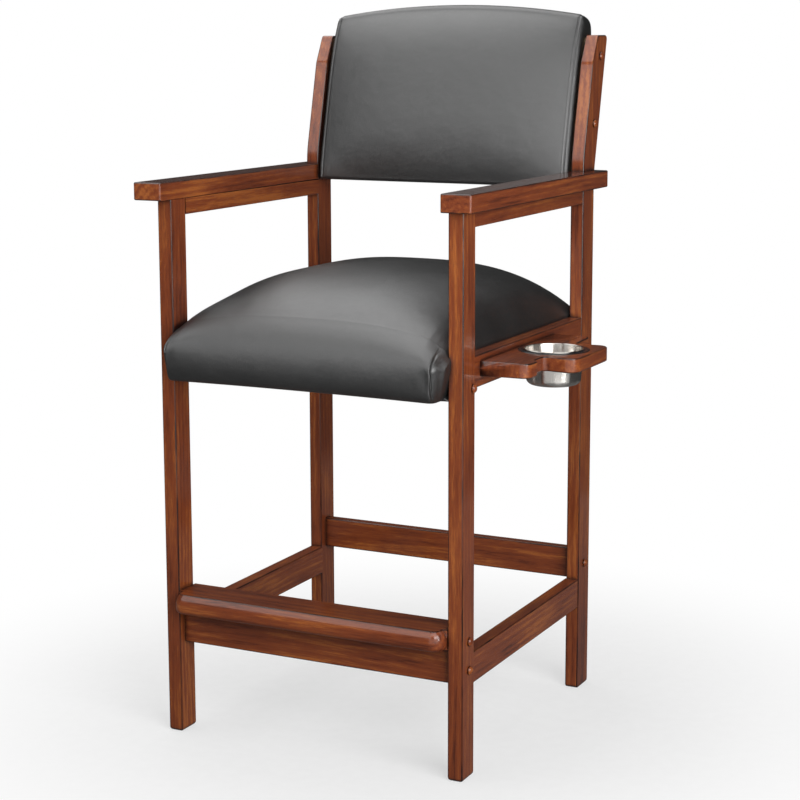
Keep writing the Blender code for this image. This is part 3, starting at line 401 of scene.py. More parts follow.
@dataclass(frozen=True)
class Vinyl(Finish):
    """Soft charcoal vinyl with a fine leather grain, and painted shade in the seat's corner folds."""
    tone: Colour = (0.0100, 0.0102, 0.0103)
    dark: Colour = (0.0080, 0.0082, 0.0083)
    pale: Colour = (0.0125, 0.0127, 0.0128)
    # The colour of the painted shade in the seat's corner folds
    fold: Colour = (0.004, 0.004, 0.004)
    cloud_places: Triple = (0.32, 0.5, 0.70)
    roughness: float = 0.35
    roughness_range: Point = (-0.05, 0.06)
    cloud_weight: float = 0.6
    gloss: float = 1.0
    index: float = 1.58
    pebble: float = 1100.0
    pebble_edge: float = 0.22
    pebble_stain: float = 0.45
    pebble_relief: float = 0.00007
    wander_scale: Triple = (320.0, 320.0, 320.0)
    wander: Triple = (0.0012, 0.0012, 0.0012)
    crease_scale: Triple = (160.0, 160.0, 160.0)
    crease_relief: float = 0.00016
    slack_scale: Triple = (26.0, 26.0, 26.0)
    slack_relief: float = 0.0010
    cloud_scale: Triple = (7.0, 7.0, 7.0)

    def paint(self, graph: Graph) -> None:
        """Fill the graph.

        Args:
            graph: The material's graph.
        """
        where = graph.place()
        spot = graph.shaken(where, self.wander_scale, 2.0, self.wander)
        pebbles = graph.add("ShaderNodeTexVoronoi", {"Vector": spot, "Scale": self.pebble},
                            feature="DISTANCE_TO_EDGE").outputs["Distance"]
        pebbles = graph.remap(pebbles, (0.0, self.pebble_edge), (0.0, 1.0))
        creases = graph.noise(where, self.crease_scale, 3.0).outputs[0]
        slack = graph.noise(where, self.slack_scale).outputs[0]
        cloud = graph.noise(where, self.cloud_scale).outputs[0]
        colour = graph.ramp(cloud, list(zip(self.cloud_places, (self.dark, self.tone, self.pale))))
        colour = graph.mixed(graph.remap(pebbles, (0.0, 0.5), (self.pebble_stain, 0.0)), colour, self.dark)
        # Painted shade: the fold mark darkens the groove at each corner of the seat
        colour = graph.mixed(graph.mark("fold"), colour, self.fold)
        wear = graph.math("ADD", graph.math("MULTIPLY", cloud, self.cloud_weight),
                          graph.math("MULTIPLY", creases, 1 - self.cloud_weight))
        low, high = self.roughness_range
        normal = graph.bump(creases, self.crease_relief, graph.bump(pebbles, self.pebble_relief))
        graph.surface(Base_Color=colour, Normal=graph.bump(slack, self.slack_relief, normal),
                      Roughness=graph.remap(wear, (0.3, 0.7), (self.roughness + low, self.roughness + high)),
                      Specular_IOR_Level=self.gloss, IOR=self.index)


@dataclass(frozen=True)
class Thread(Finish):
    """Twisted polyester thread."""
    tone: Colour = (0.008, 0.008, 0.008)
    pale: Colour = (0.026, 0.026, 0.027)
    twist: float = 130.0
    relief: float = 0.0001
    roughness: float = 0.55

    def paint(self, graph: Graph) -> None:
        """Fill the graph.

        Args:
            graph: The material's graph.
        """
        feeds = {"Vector": graph.place(), "Scale": self.twist, "Distortion": 2.0}
        strands = graph.add("ShaderNodeTexWave", feeds, bands_direction="DIAGONAL").outputs["Fac"]
        colour = graph.ramp(strands, [(0.2, self.tone), (0.8, self.pale)])
        graph.surface(Base_Color=colour, Roughness=self.roughness, Normal=graph.bump(strands, self.relief))


@dataclass(frozen=True)
class BrushedSteel(Finish):
    """Stainless steel, brushed round the cup."""
    tone: Colour = (0.64, 0.61, 0.57)
    bright: Colour = (0.78, 0.75, 0.71)
    line_scale: Triple = (30.0, 30.0, 5200.0)
    relief: float = 0.00003
    roughness: float = 0.24
    roughness_width: float = 0.08
    pull: float = 0.95
    quarter_turn: float = 0.25

    def paint(self, graph: Graph) -> None:
        """Fill the graph.

        Args:
            graph: The material's graph.
        """
        lines = graph.noise(graph.place(), self.line_scale).outputs[0]
        colour = graph.ramp(lines, [(0.3, self.tone), (0.7, self.bright)])
        smoothest = self.roughness - self.roughness_width / 2
        roughness = graph.math("MULTIPLY_ADD", lines, self.roughness_width, smoothest)
        run_round = graph.add("ShaderNodeTangent", direction_type="RADIAL", axis="Z").outputs[0]
        graph.surface(Base_Color=colour, Roughness=roughness, Metallic=1.0, Tangent=run_round,
                      Normal=graph.bump(lines, self.relief), Anisotropic=self.pull,
                      Anisotropic_Rotation=self.quarter_turn)


@dataclass(frozen=True)
class PlainGrain(Finish):
    """A quiet procedural finish for rubber, plywood, lining and plated screws."""
    tone: Colour
    other: Colour
    scale: Triple
    relief: float
    roughness: float
    metallic: float = 0.0

    def paint(self, graph: Graph) -> None:
        """Fill the graph.

        Args:
            graph: The material's graph.
        """
        cloud = graph.noise(graph.place(), self.scale, 3.0).outputs[0]
        colour = graph.ramp(cloud, [(0.32, self.tone), (0.68, self.other)])
        roughness = graph.remap(cloud, (0.3, 0.7), (self.roughness - 0.05, self.roughness + 0.05))
        graph.surface(Base_Color=colour, Roughness=roughness, Metallic=self.metallic,
                      Normal=graph.bump(cloud, self.relief))


@dataclass
class Finishes:
    """Every finish of the chair, made once."""
    board: bpy.types.Material = field(init=False)
    block: bpy.types.Material = field(init=False)
    vinyl: bpy.types.Material = field(init=False)
    thread: bpy.types.Material = field(init=False)
    steel: bpy.types.Material = field(init=False)
    rubber: bpy.types.Material = field(init=False)
    plywood: bpy.types.Material = field(init=False)
    lining: bpy.types.Material = field(init=False)
    zinc: bpy.types.Material = field(init=False)

    def __post_init__(self) -> None:
        """Make the materials."""
        self.board = StainedWood(GrainSource.BOARD).material("stained_board")
        self.block = StainedWood(GrainSource.SOLID).material("stained_block")
        self.vinyl = Vinyl().material("charcoal_vinyl")
        self.thread = Thread().material("seam_thread")
        self.steel = BrushedSteel().material("brushed_steel")
        self.rubber = PlainGrain(
            (0.010, 0.011, 0.012), (0.018, 0.019, 0.020), (900.0, 900.0, 900.0),
            relief=0.00003, roughness=0.24,
        ).material("black_ring")
        self.plywood = PlainGrain(
            (0.40, 0.27, 0.15), (0.55, 0.40, 0.24), (30.0, 420.0, 420.0),
            relief=0.00010, roughness=0.70,
        ).material("bare_plywood")
        self.lining = PlainGrain(
            (0.013, 0.013, 0.013), (0.030, 0.030, 0.030), (1400.0, 1400.0, 1400.0),
            relief=0.00020, roughness=0.88,
        ).material("black_lining")
        self.zinc = PlainGrain(
            (0.42, 0.41, 0.38), (0.60, 0.59, 0.55), (700.0, 700.0, 700.0),
            relief=0.00004, roughness=0.36, metallic=1.0,
        ).material("zinc_plate")


@dataclass(frozen=True)
class Places:
    """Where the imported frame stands: X is measured from the chair's middle, Y and Z as they are."""
    middle: float
    leg_outer: float
    leg_inner: float
    post_inner: float
    front_face: float
    post_front: float
    rail_outer: float
    rail_inner: float
    rail_top: float
    deck_top: float
    front_rail_face: float
    rear_rail_back: float
    arm_outer: float
    arm_front: float
    arm_rear: float
    arm_underside: float
    arm_top: float
    rake: float = math.radians(13.3)
    front_bend: float = 0.970

    @classmethod
    def read(cls) -> "Places":
        """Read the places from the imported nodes."""
        leg_low, leg_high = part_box("front_leg_left")
        other_low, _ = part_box("front_leg_right")
        post_low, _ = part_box("rear_post_left")
        rail_low, rail_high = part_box("seat_side_rail_left")
        arm_low, arm_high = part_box("armrest_left")
        middle = (leg_high[0] + other_low[0]) / 2
        return cls(
            middle=middle,
            leg_outer=leg_high[0] - middle,
            leg_inner=leg_low[0] - middle,
            post_inner=post_low[0] - middle,
            front_face=leg_low[1],
            post_front=post_low[1],
            rail_outer=rail_high[0] - middle,
            rail_inner=rail_low[0] - middle,
            rail_top=rail_high[2],
            deck_top=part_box("seat_deck")[1][2],
            front_rail_face=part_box("seat_front_rail")[0][1],
            rear_rail_back=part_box("seat_rear_rail")[1][1],
            arm_outer=arm_high[0] - middle,
            arm_front=arm_low[1],
            arm_rear=arm_high[1],
            arm_underside=arm_low[2],
            arm_top=arm_high[2],
        )

    def leaning(self, along: float, back: float) -> Point:
        """Y and Z of a point so far up the posts' leaning front face, and so far behind it."""
        lean, rise = math.sin(self.rake), math.cos(self.rake)
        return self.post_front + along * lean + back * rise, self.front_bend + along * rise - back * lean


def filleted(corners: list[Triple], steps: int) -> tuple[list[Point], list[float]]:
    """Round the corners of a closed outline.

    Args:
        corners: Each corner's two coordinates and its radius.
        steps: The steps of each rounding.

    Returns:
        The outline, and for each point one inside a small rounding and zero elsewhere.
    """
    outline, marks = [], []
    for index, (first, second, radius) in enumerate(corners):
        here = Vector((first, second))
        before = Vector(corners[index - 1][:2]) - here
        after = Vector(corners[(index + 1) % len(corners)][:2]) - here
        half = before.angle(after) / 2
        radius = min(radius, min(before.length, after.length) / 2 * math.tan(half))
        if radius <= 0:
            outline.append((here.x, here.y))
            marks.append(0.0)
            continue
        reach = radius / math.tan(half)
        middle = here + (before.normalized() + after.normalized()).normalized() * radius / math.sin(half)
        start = here + before.normalized() * reach - middle
        end = here + after.normalized() * reach - middle
        sweep = start.angle(end)
        for step in range(steps + 1):
            turn = sweep * step / steps
            spoke = (start * math.sin(sweep - turn) + end * math.sin(turn)) / math.sin(sweep)
            outline.append((middle.x + spoke.x, middle.y + spoke.y))
            marks.append(1.0 if radius < SMALL_ROUNDING and 0 < step < steps else 0.0)
    return outline, marks


def inset(outline: list[Point], amounts: list[float]) -> list[Point]:
    """Move each point of a closed outline inwards.

    Args:
        outline: The outline, anticlockwise.
        amounts: How far each point moves.

    Returns:
        The smaller outline.
    """
    moved = []
    for index, spot in enumerate(outline):
        here = Vector(spot)
        before = (here - Vector(outline[index - 1])).normalized()
        after = (Vector(outline[(index + 1) % len(outline)]) - here).normalized()
        first, second = Vector((-before.y, before.x)), Vector((-after.y, after.x))
        width = max(SHARPEST_INSET, 1 + first.dot(second))
        moved.append(tuple(here + (first + second) * amounts[index] / width))
    return moved


def anticlockwise(outline: list[Point], marks: list[float]) -> tuple[list[Point], list[float]]:
    """Turn an outline and the values of its points round if it runs clockwise."""
    area = sum(a[0] * b[1] - b[0] * a[1] for a, b in zip(outline, outline[1:] + outline[:1]))
    return (outline, marks) if area > 0 else (outline[::-1], marks[::-1])


def quarter(start: Point, end: Point, steps: int, leave_first: bool) -> list[Point]:
    """A quarter of an ellipse.

    Args:
        start: Its first point.
        end: Its last point.
        steps: Its steps.
        leave_first: Whether it leaves along the first direction.

    Returns:
        Its points.
    """
    points = []
    for step in range(steps + 1):
        turn = math.pi / 2 * step / steps
        fast, slow = math.sin(turn), 1 - math.cos(turn)
        first, second = (fast, slow) if leave_first else (slow, fast)
        points.append((start[0] + (end[0] - start[0]) * first, start[1] + (end[1] - start[1]) * second))
    return points


def run(start: Point, end: Point, steps: int) -> list[Point]:
    """Evenly spaced points from a start up to, but without, an end."""
    return [(start[0] + (end[0] - start[0]) * step / steps, start[1] + (end[1] - start[1]) * step / steps)
            for step in range(steps)]


def smooth(value: float, low: float, high: float) -> float:
    """A soft step from zero at the low value to one at the high value."""
    share = min(1.0, max(0.0, (value - low) / (high - low)))
    return share * share * (3 - 2 * share)


def late(share: float, start: float) -> float:
    """How far a share, whatever its sign, has gone from a start towards one, and zero before it."""
    return max(0.0, abs(share) - start) / (1 - start)


def rounded_off(share: float) -> float:
    """The fall of a quarter circle, from zero to one."""
    return 1 - math.sqrt(max(0.0, 1 - share * share))


class Shape:
    """A mesh in the making, which knows its eased arrises."""

    def __init__(self) -> None:
        """Start empty."""
        self.mesh = bmesh.new()
        self.arris = self.mesh.verts.layers.float.new("arris")

    def loop(self, spots: list[Vector], marks: list[float] | None = None) -> Loop:
        """Add a loop of points.

        Args:
            spots: The points.
            marks: How much of an arris each point is.

        Returns:
            The new vertices.
        """
        made = []
        for index, spot in enumerate(spots):
            vertex = self.mesh.verts.new(spot)
            vertex[self.arris] = marks[index] if marks else 0.0
            made.append(vertex)
        return made

    def skin(self, loops: list[Loop], closed: bool = True) -> None:
        """Join loops with faces; a loop of one point is a pole.

        Args:
            loops: The loops.
            closed: Whether each loop runs back to its first point.
        """
        for first, second in zip(loops, loops[1:]):
            count = max(len(first), len(second))
            for index in range(count if closed else count - 1):
                after = index + 1
                corners = [first[index % len(first)], first[after % len(first)],
                           second[after % len(second)], second[index % len(second)]]
                self.mesh.faces.new(list(dict.fromkeys(corners)))

    def cap(self, *loops: Loop) -> None:
        """Close each loop with one face."""
        for loop in loops:
            self.mesh.faces.new(loop)

    def fill(self, *loops: Loop) -> None:
        """Fill the flat ground between an outline and the holes in it.

        Args:
            loops: The outline and the holes.
        """
        edges = []
        for loop in loops:
            for index, vertex in enumerate(loop):
                edges.append(self.mesh.edges.get((vertex, loop[(index + 1) % len(loop)])))
        bmesh.ops.triangle_fill(self.mesh, use_beauty=True, use_dissolve=False, edges=edges)

    def publish(self, name: str, material: bpy.types.Material, crease: float = 40.0,
                weighted: bool = True) -> bpy.types.Object:
        """Turn the shape into an object at the origin.

        Args:
            name: The object's name.
            material: Its finish.
            crease: Edges sharper than this many degrees stay sharp.
            weighted: Whether broad faces stay flat beside their eased arrises.

        Returns:
            The object.
        """
        bmesh.ops.remove_doubles(self.mesh, verts=self.mesh.verts, dist=MERGE)
        bmesh.ops.recalc_face_normals(self.mesh, faces=self.mesh.faces)
        mesh = bpy.data.meshes.new(name)
        self.mesh.to_mesh(mesh)
        self.mesh.free()
        mesh.shade_smooth()
        mesh.set_sharp_from_angle(angle=math.radians(crease))
        mesh.materials.append(material)
        made = bpy.data.objects.new(name, mesh)
        bpy.context.collection.objects.link(made)
        if weighted:
            flats = made.modifiers.new("flats", "WEIGHTED_NORMAL")
            flats.keep_sharp = True
        return made


def prism(outline: list[Point], marks: list[float], span: Point, axis: Grain, ease: Point | list[Point],
          steps: int = 4) -> tuple[Shape, list[Loop]]:
    """Extrude an outline along an axis, with its rims eased.

    Args:
        outline: The outline in the plane square to the axis: (Y, Z), (X, Z) or (X, Y).
        marks: How much of an arris each of its points is.
        span: Where the prism starts and ends.
        axis: The axis.
        ease: The easing of the first and last rim, for the whole outline or for each point.
        steps: The steps of an eased rim.

    Returns:
        The shape, still open at both ends, and its loops.
    """
    outline, marks = anticlockwise(outline, marks)
    eases = ease if isinstance(ease, list) else [ease] * len(outline)
    shape = Shape()
    loops = []
    for end, sign in ((0, 1), (1, -1)):
        amounts = [pair[end] for pair in eases]
        rows = []
        for step in range(steps + 1):
            turn = math.pi / 2 * step / steps
            ring = inset(outline, [amount * (1 - math.sin(turn)) for amount in amounts])
            spots = []
            for (first, second), amount in zip(ring, amounts):
                spot = [first, second]
                spot.insert(axis.value, span[end] + sign * amount * (1 - math.cos(turn)))
                spots.append(Vector(spot))
            inner = 0 < step < steps
            values = [1.0 if inner and amount > 0 else mark for mark, amount in zip(marks, amounts)]
            rows.append(shape.loop(spots, values))
        loops += rows if end == 0 else rows[::-1]
    shape.skin(loops)
    return shape, loops


def turned(shape: Shape, profile: list[Point], sides: int, place: Matrix, closed: bool = False) -> list[Loop]:
    """Turn a profile about Z and set it in place.

    Args:
        shape: The shape that it joins.
        profile: Radius and height of each point; a radius of zero is a pole.
        sides: The steps round.
        place: The frame that it stands in.
        closed: Whether the profile runs back to its first point.

    Returns:
        Its loops.
    """
    loops = []
    for radius, height in profile:
        angles = [2 * math.pi * index / sides for index in range(sides)] if radius else [0.0]
        spots = [Vector((radius * math.cos(angle), radius * math.sin(angle), height)) for angle in angles]
        loops.append(shape.loop([place @ spot for spot in spots]))
    if closed:
        loops.append(loops[0])
    shape.skin(loops)
    return loops


def domed(radius: float, rise: float, steps: int) -> list[Point]:
    """Radii and heights of a profile that rises from a rim to a pole, the pole last."""
    turns = [math.pi / 2 * step / steps for step in range(steps)]
    return [(radius * math.cos(turn), rise * math.sin(turn)) for turn in turns] + [(0.0, rise)]


def read_spots(mesh: bpy.types.Mesh) -> numpy.ndarray:
    """Every point of a mesh."""
    spots = numpy.empty(len(mesh.vertices) * 3, dtype=numpy.float32)
    mesh.vertices.foreach_get("co", spots)
    return spots.reshape(-1, 3).astype(float)


def write_spots(mesh: bpy.types.Mesh, spots: numpy.ndarray) -> None:
    """Move every point of a mesh to its new spot."""
    mesh.vertices.foreach_set("co", spots.astype(numpy.float32).ravel())
    mesh.update()


def write_marks(mesh: bpy.types.Mesh, name: str, values: list[float]) -> None:
    """Give every point of a mesh its value of a named mark."""
    mesh.attributes.new(name, "FLOAT", "POINT").data.foreach_set("value", values)


def lay_grain(made: bpy.types.Object, grain: Grain, shaded: float) -> None:
    """Write the run of the fibres into a board, from its own part of the log.

    Args:
        made: The board.
        grain: The axis that its fibres follow.
        shaded: How much painted shade darkens its level faces.
    """
    log = random.Random(made.name)
    spots = read_spots(made.data).astype(numpy.float32)
    centre = (spots.min(axis=0) + spots.max(axis=0)) / 2
    order = [grain.value, (grain.value + 1) % 3, (grain.value + 2) % 3]
    around = log.uniform(0, 2 * math.pi)
    pith = log.uniform(*PITH_RANGE)
    start = [log.uniform(-LOG_REACH, LOG_REACH), pith * math.cos(around), pith * math.sin(around)]
    laid = (spots - centre)[:, order] + numpy.array(start)
    layer = made.data.attributes.new("grain", "FLOAT_VECTOR", "POINT")
    layer.data.foreach_set("vector", laid.astype(numpy.float32).ravel())
    # Painted shade: a mark that darkens the piece's level faces
    if shaded:
        write_marks(made.data, "shaded", [shaded] * len(spots))


def stand_for(made: bpy.types.Object, slot: Slot, body: str, *nodes: str) -> bpy.types.Object:
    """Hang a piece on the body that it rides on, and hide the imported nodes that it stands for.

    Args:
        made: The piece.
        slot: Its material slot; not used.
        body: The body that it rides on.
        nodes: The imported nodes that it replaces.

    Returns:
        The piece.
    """
    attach(made, body)
    if nodes:
        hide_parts(*nodes)
    LOG.info("piece %s: %d faces", made.name, len(made.data.polygons))
    return made


def wooden(shape: Shape, node: str, material: bpy.types.Material, grain: Grain, shaded: float = 0.0,
           crease: float = 40.0, weighted: bool = True) -> bpy.types.Object:
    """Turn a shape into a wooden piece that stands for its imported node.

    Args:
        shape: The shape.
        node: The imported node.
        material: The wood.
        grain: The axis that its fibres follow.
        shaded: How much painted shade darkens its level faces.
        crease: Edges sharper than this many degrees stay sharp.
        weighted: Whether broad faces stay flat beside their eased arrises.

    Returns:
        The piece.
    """
    made = shape.publish(node + "_dressed", material, crease, weighted)
    lay_grain(made, grain, shaded)
    return stand_for(made, Slot.WOOD, CHAIR_BODY, node)


def dress_packed(materials: dict[str, bpy.types.Material]) -> None:
    """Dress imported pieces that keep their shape.

    Args:
        materials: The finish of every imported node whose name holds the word.
    """
    for name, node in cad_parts.items():
        for word, material in materials.items():
            if word in name:
                node.material_slots[0].material = material


@dataclass(frozen=True)
class Board:
    """A straight board: its grain, its stub tenons, and whether it has a foot or lies under an arm."""
    node: str
    grain: Grain
    tenon: float = 0.0
    foot: bool = False
    under_arm: bool = False


@dataclass
class WoodFrame:
    """Legs, posts, arms, rails, footrest and the domed buttons."""
    places: Places
    finishes: Finishes
    ease: float = 0.0024
    tenon: float = 0.008
    post_behind_rail: float = 0.002
    post_back_bend: float = 0.943
    post_bend_radius: float = 0.150
    post_tip_start: float = 1.138
    post_tip_depth: float = 0.0448
    post_tip_radius: float = 0.007
    arm_corner: float = 0.004
    seam_ease: float = 0.0005
    foot_round: float = 0.0055
    rounding_steps: int = 4
    footrest_corner: float = 0.024
    nose_end: Point = (0.0016, 0.0006)
    nose_drop: float = 0.012
    nose_round: float = 0.009
    nose_slope: Point = (0.0075, 0.019)
    nose_slope_top: float = 0.0007
    nose_edge: tuple[Point, ...] = ((0.0004, 0.0002), (0.0012, 0.0), (0.0024, 0.0))
    nose_edge_width: float = 0.0016
    button_radius: float = 0.0072
    button_hem: float = 0.0008
    button_side: float = 0.0006
    button_rise: float = 0.0060
    button_lowering: float = 0.007
    button_sides: int = 40

    def build(self) -> list[bpy.types.Object]:
        """Build and dress the frame.

        Returns:
            Its pieces.
        """
        pieces = [self.board(board) for board in self.boards()]
        for side in Side:
            pieces.append(self.post(side))
            pieces.append(self.arm(side))
        pieces.append(self.footrest())
        pieces += self.buttons()
        dress_packed({"corner_block": self.finishes.block})
        return pieces

    def boards(self) -> list[Board]:
        """The frame's straight boards.

        Returns:
            What each one is.
        """
        boards = []
        for side in Side:
            boards.append(Board("front_leg_" + side.word, Grain.UP, foot=True))
            for rail in ("arm_rail_", "seat_side_rail_", "side_stretcher_"):
                boards.append(Board(rail + side.word, Grain.ALONG, self.tenon, under_arm=rail == "arm_rail_"))
        boards.append(Board("seat_front_rail", Grain.ACROSS))
        boards.append(Board("seat_rear_rail", Grain.ACROSS, self.tenon))
        boards.append(Board("front_stretcher", Grain.ACROSS))
        boards.append(Board("rear_stretcher", Grain.ACROSS))
        return boards

    def board(self, board: Board) -> bpy.types.Object:
        """Build one straight board.

        Args:
            board: Which one.

        Returns:
            The piece.
        """
        low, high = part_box(board.node)
        axis = board.grain.value
        first, second = [index for index in range(3) if index != axis]
        upper = self.seam_ease if board.under_arm else self.ease
        outline, marks = filleted([
            (low[first], low[second], self.ease), (high[first], low[second], self.ease),
            (high[first], high[second], upper), (low[first], high[second], upper),
        ], self.rounding_steps)
        if board.under_arm:
            marks = [0.0] * len(marks)
        span = (low[axis] + board.tenon, high[axis] - board.tenon)
        shape, loops = prism(outline, marks, span, board.grain, (0.0, 0.0), self.rounding_steps)
        if board.foot:
            self.round_foot(loops[:self.rounding_steps + 1])
        shape.cap(loops[0], loops[-1])
        return wooden(shape, board.node, self.finishes.board, board.grain)

    def round_foot(self, rim: list[Loop]) -> None:
        """Round the lower end of a leg.

        Args:
            rim: The loops of its lower rim, the lowest first.
        """
        count = len(rim[0])
        centre = sum((vertex.co for vertex in rim[0]), Vector()) / count
        half = [max(abs(vertex.co[axis] - centre[axis]) for vertex in rim[0]) for axis in (0, 1)]
        for index, loop in enumerate(rim):
            turn = math.pi / 2 * index / (len(rim) - 1)
            inward = self.foot_round * (1 - math.sin(turn))
            for vertex in loop:
                for axis in (0, 1):
                    share = (half[axis] - inward) / half[axis]
                    vertex.co[axis] = centre[axis] + (vertex.co[axis] - centre[axis]) * share
                vertex.co[2] = self.foot_round * (1 - math.cos(turn))

    def post(self, side: Side) -> bpy.types.Object:
        """Build a rear leg and back post, one piece bent back above the arm.

        Args:
            side: Its side.

        Returns:
            The piece.
        """
        node = "rear_post_" + side.word
        low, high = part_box(node)
        front, top = low[1], high[2]
        back = self.places.rear_rail_back + self.post_behind_rail
        tip_back = back + (top - self.post_back_bend) * math.tan(self.places.rake)
        tip_start = front + (self.post_tip_start - self.places.front_bend) * math.tan(self.places.rake)
        outline, marks = filleted([
            (front, 0.0, self.foot_round),
            (back, 0.0, self.foot_round),
            (back, self.post_back_bend, self.post_bend_radius),
            (tip_back, top, self.post_tip_radius),
            (tip_back - self.post_tip_depth, top, self.post_tip_radius),
            (tip_start, self.post_tip_start, self.post_tip_depth),
            (front, self.places.front_bend, self.post_bend_radius),
        ], 10)
        marks = [0.0 if z < self.foot_round + MERGE else mark for (_, z), mark in zip(outline, marks)]
        shape, loops = prism(outline, marks, (low[0], high[0]), Grain.ACROSS, (self.ease, self.ease))
        shape.cap(loops[0], loops[-1])
        return wooden(shape, node, self.finishes.board, Grain.UP)

    def arm(self, side: Side) -> bpy.types.Object:
        """Build a flat arm, notched round its post.

        Args:
            side: Its side.

        Returns:
            The piece.
        """
        node = "armrest_" + side.word
        places, sign = self.places, side.value
        inner, outer = places.leg_inner, places.arm_outer
        notch_x, notch_y = places.leg_outer + CLEAR, places.post_front - CLEAR
        corners = [
            (inner, places.arm_front, self.arm_corner),
            (outer, places.arm_front, self.arm_corner),
            (outer, places.arm_rear, self.arm_corner),
            (notch_x, places.arm_rear, 0.0),
            (notch_x, notch_y, 0.0),
            (inner, notch_y, 0.0),
        ]
        corners = [(places.middle + sign * x, y, radius) for x, y, radius in corners]
        outline, _ = anticlockwise(*filleted(corners, 6))
        square = {self.rounded(corner) for corner in corners if corner[2] == 0}
        outline, eases = self.with_square_ends(outline, square)
        flat = [0.0] * len(outline)
        shape, loops = prism(outline, flat, (places.arm_underside, places.arm_top), Grain.UP, eases)
        shape.cap(loops[0], loops[-1])
        # The arm's level top is darkened by painted shade
        return wooden(shape, node, self.finishes.board, Grain.ALONG, shaded=1.0)

    def rounded(self, spot: tuple[float, ...]) -> Point:
        """A spot's first two coordinates to a hundredth of a millimetre, to tell equal spots by."""
        return round(spot[0], 5), round(spot[1], 5)

    def with_square_ends(self, outline: list[Point], square: set[Point]) -> tuple[list[Point], list[Point]]:
        """Keep an arm's notch square, with its easing run out just before it.

        Args:
            outline: The arm's outline.
            square: The corners of the notch.

        Returns:
            The outline and the easing of each point.
        """
        points, eases = [], []
        for index, spot in enumerate(outline):
            after = outline[(index + 1) % len(outline)]
            is_square = self.rounded(spot) in square
            at_leg = abs(abs(spot[0] - self.places.middle) - self.places.leg_inner) < MERGE
            points.append(spot)
            eases.append((0.0, 0.0) if is_square else (self.seam_ease if at_leg else self.ease, self.ease))
            if is_square == (self.rounded(after) in square):
                continue
            start, end = Vector(spot), Vector(after)
            step = (end - start).normalized() * 2 * self.ease
            points.append(tuple(start + step if is_square else end - step))
            eases.append((self.ease, self.ease))
        return points, eases

    def footrest(self) -> bpy.types.Object:
        """Build the footrest board, with a bullnose that runs round its two front corners.

        Returns:
            The piece.
        """
        node = "footrest_board"
        low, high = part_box(node)
        legs = self.places.front_face
        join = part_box("front_stretcher")[0][1] - CLEAR
        outline, _ = anticlockwise(*filleted([
            (low[0], low[1], self.footrest_corner), (high[0], low[1], self.footrest_corner),
            (high[0], join, 0.0), (high[0], high[1], 0.0), (low[0], high[1], 0.0), (low[0], join, 0.0),
        ], 14))
        points, shares = [], []
        for index, spot in enumerate(outline):
            after = outline[(index + 1) % len(outline)]
            before_legs = spot[1] < legs
            points.append(spot)
            shares.append(1.0 if before_legs else 0.0)
            if before_legs != (after[1] < legs):
                ends = [((spot[0], legs - self.nose_end[0]), 1.0), ((spot[0], legs - self.nose_end[1]), 0.0)]
                for place, share in ends if before_legs else ends[::-1]:
                    points.append(place)
                    shares.append(share)
        shape = Shape()
        loops = []
        edge = self.nose_slope[0]
        for amount, level, rear in self.nose_profile(low[2], high[2], join, high[1]):
            ring = inset(points, [amount * share for share in shares])
            sharp = 1.0 if edge - MERGE < amount < edge + self.nose_edge_width else 0.0
            loops.append(shape.loop([Vector((x, min(y, rear), level)) for x, y in ring], [sharp] * len(ring)))
        shape.skin(loops)
        shape.cap(loops[0], loops[-1])
        return wooden(shape, node, self.finishes.board, Grain.ACROSS)

    def nose_profile(self, low: float, high: float, join: float, rear: float) -> list[Triple]:
        """Section of the footrest from the nose's underside up: round below and softly sloped above.

        Args:
            low: The height of the board's underside, behind the nose.
            high: The height of its top.
            join: The Y of the stretcher's face, behind which only the board reaches.
            rear: The Y of the board's rear.

        Returns:
            How far in and how high each point is, and how far back the board reaches there.
        """
        slope, rise = self.nose_slope
        base = low - self.nose_drop
        profile = [(inward, level, join) for inward, level in
                   quarter((self.nose_round, base), (0.0, base + self.nose_round), 8, True)]
        profile += [(0.0, low, join), (0.0, low, rear)]
        for step in range(13):
            share = step / 12
            profile.append((slope * share ** 2, high - self.nose_slope_top - rise * (1 - share), rear))
        profile += [(slope + inward, high - fall, rear) for inward, fall in self.nose_edge]
        return profile

    def buttons(self) -> list[bpy.types.Object]:
        """Build the domed buttons over the frame screws.

        Returns:
            The pieces.
        """
        made = []
        dome = [(0.0, 0.0), (self.button_radius - self.button_hem, 0.0)]
        dome += [(radius, self.button_side + height) for radius, height in
                 domed(self.button_radius, self.button_rise - self.button_side, 10)]
        lowered = ("front_stretcher", "footrest")
        for side in Side:
            for place in ("front_rail", *lowered, "rear_stretcher", "back_lower", "back_upper"):
                node = f"{place}_button_{side.word}"
                low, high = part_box(node)
                start = self.places.middle + side.value * (self.places.leg_outer + CLEAR)
                drop = self.button_lowering if place in lowered else 0.0
                spot = Vector((start, (low[1] + high[1]) / 2, (low[2] + high[2]) / 2 - drop))
                outward = Matrix.Translation(spot) @ Matrix.Rotation(side.value * math.pi / 2, 4, "Y")
                shape = Shape()
                turned(shape, dome, self.button_sides, outward)
                wood = self.finishes.board
                made.append(wooden(shape, node, wood, Grain.ALONG, crease=60.0, weighted=False))
        return made


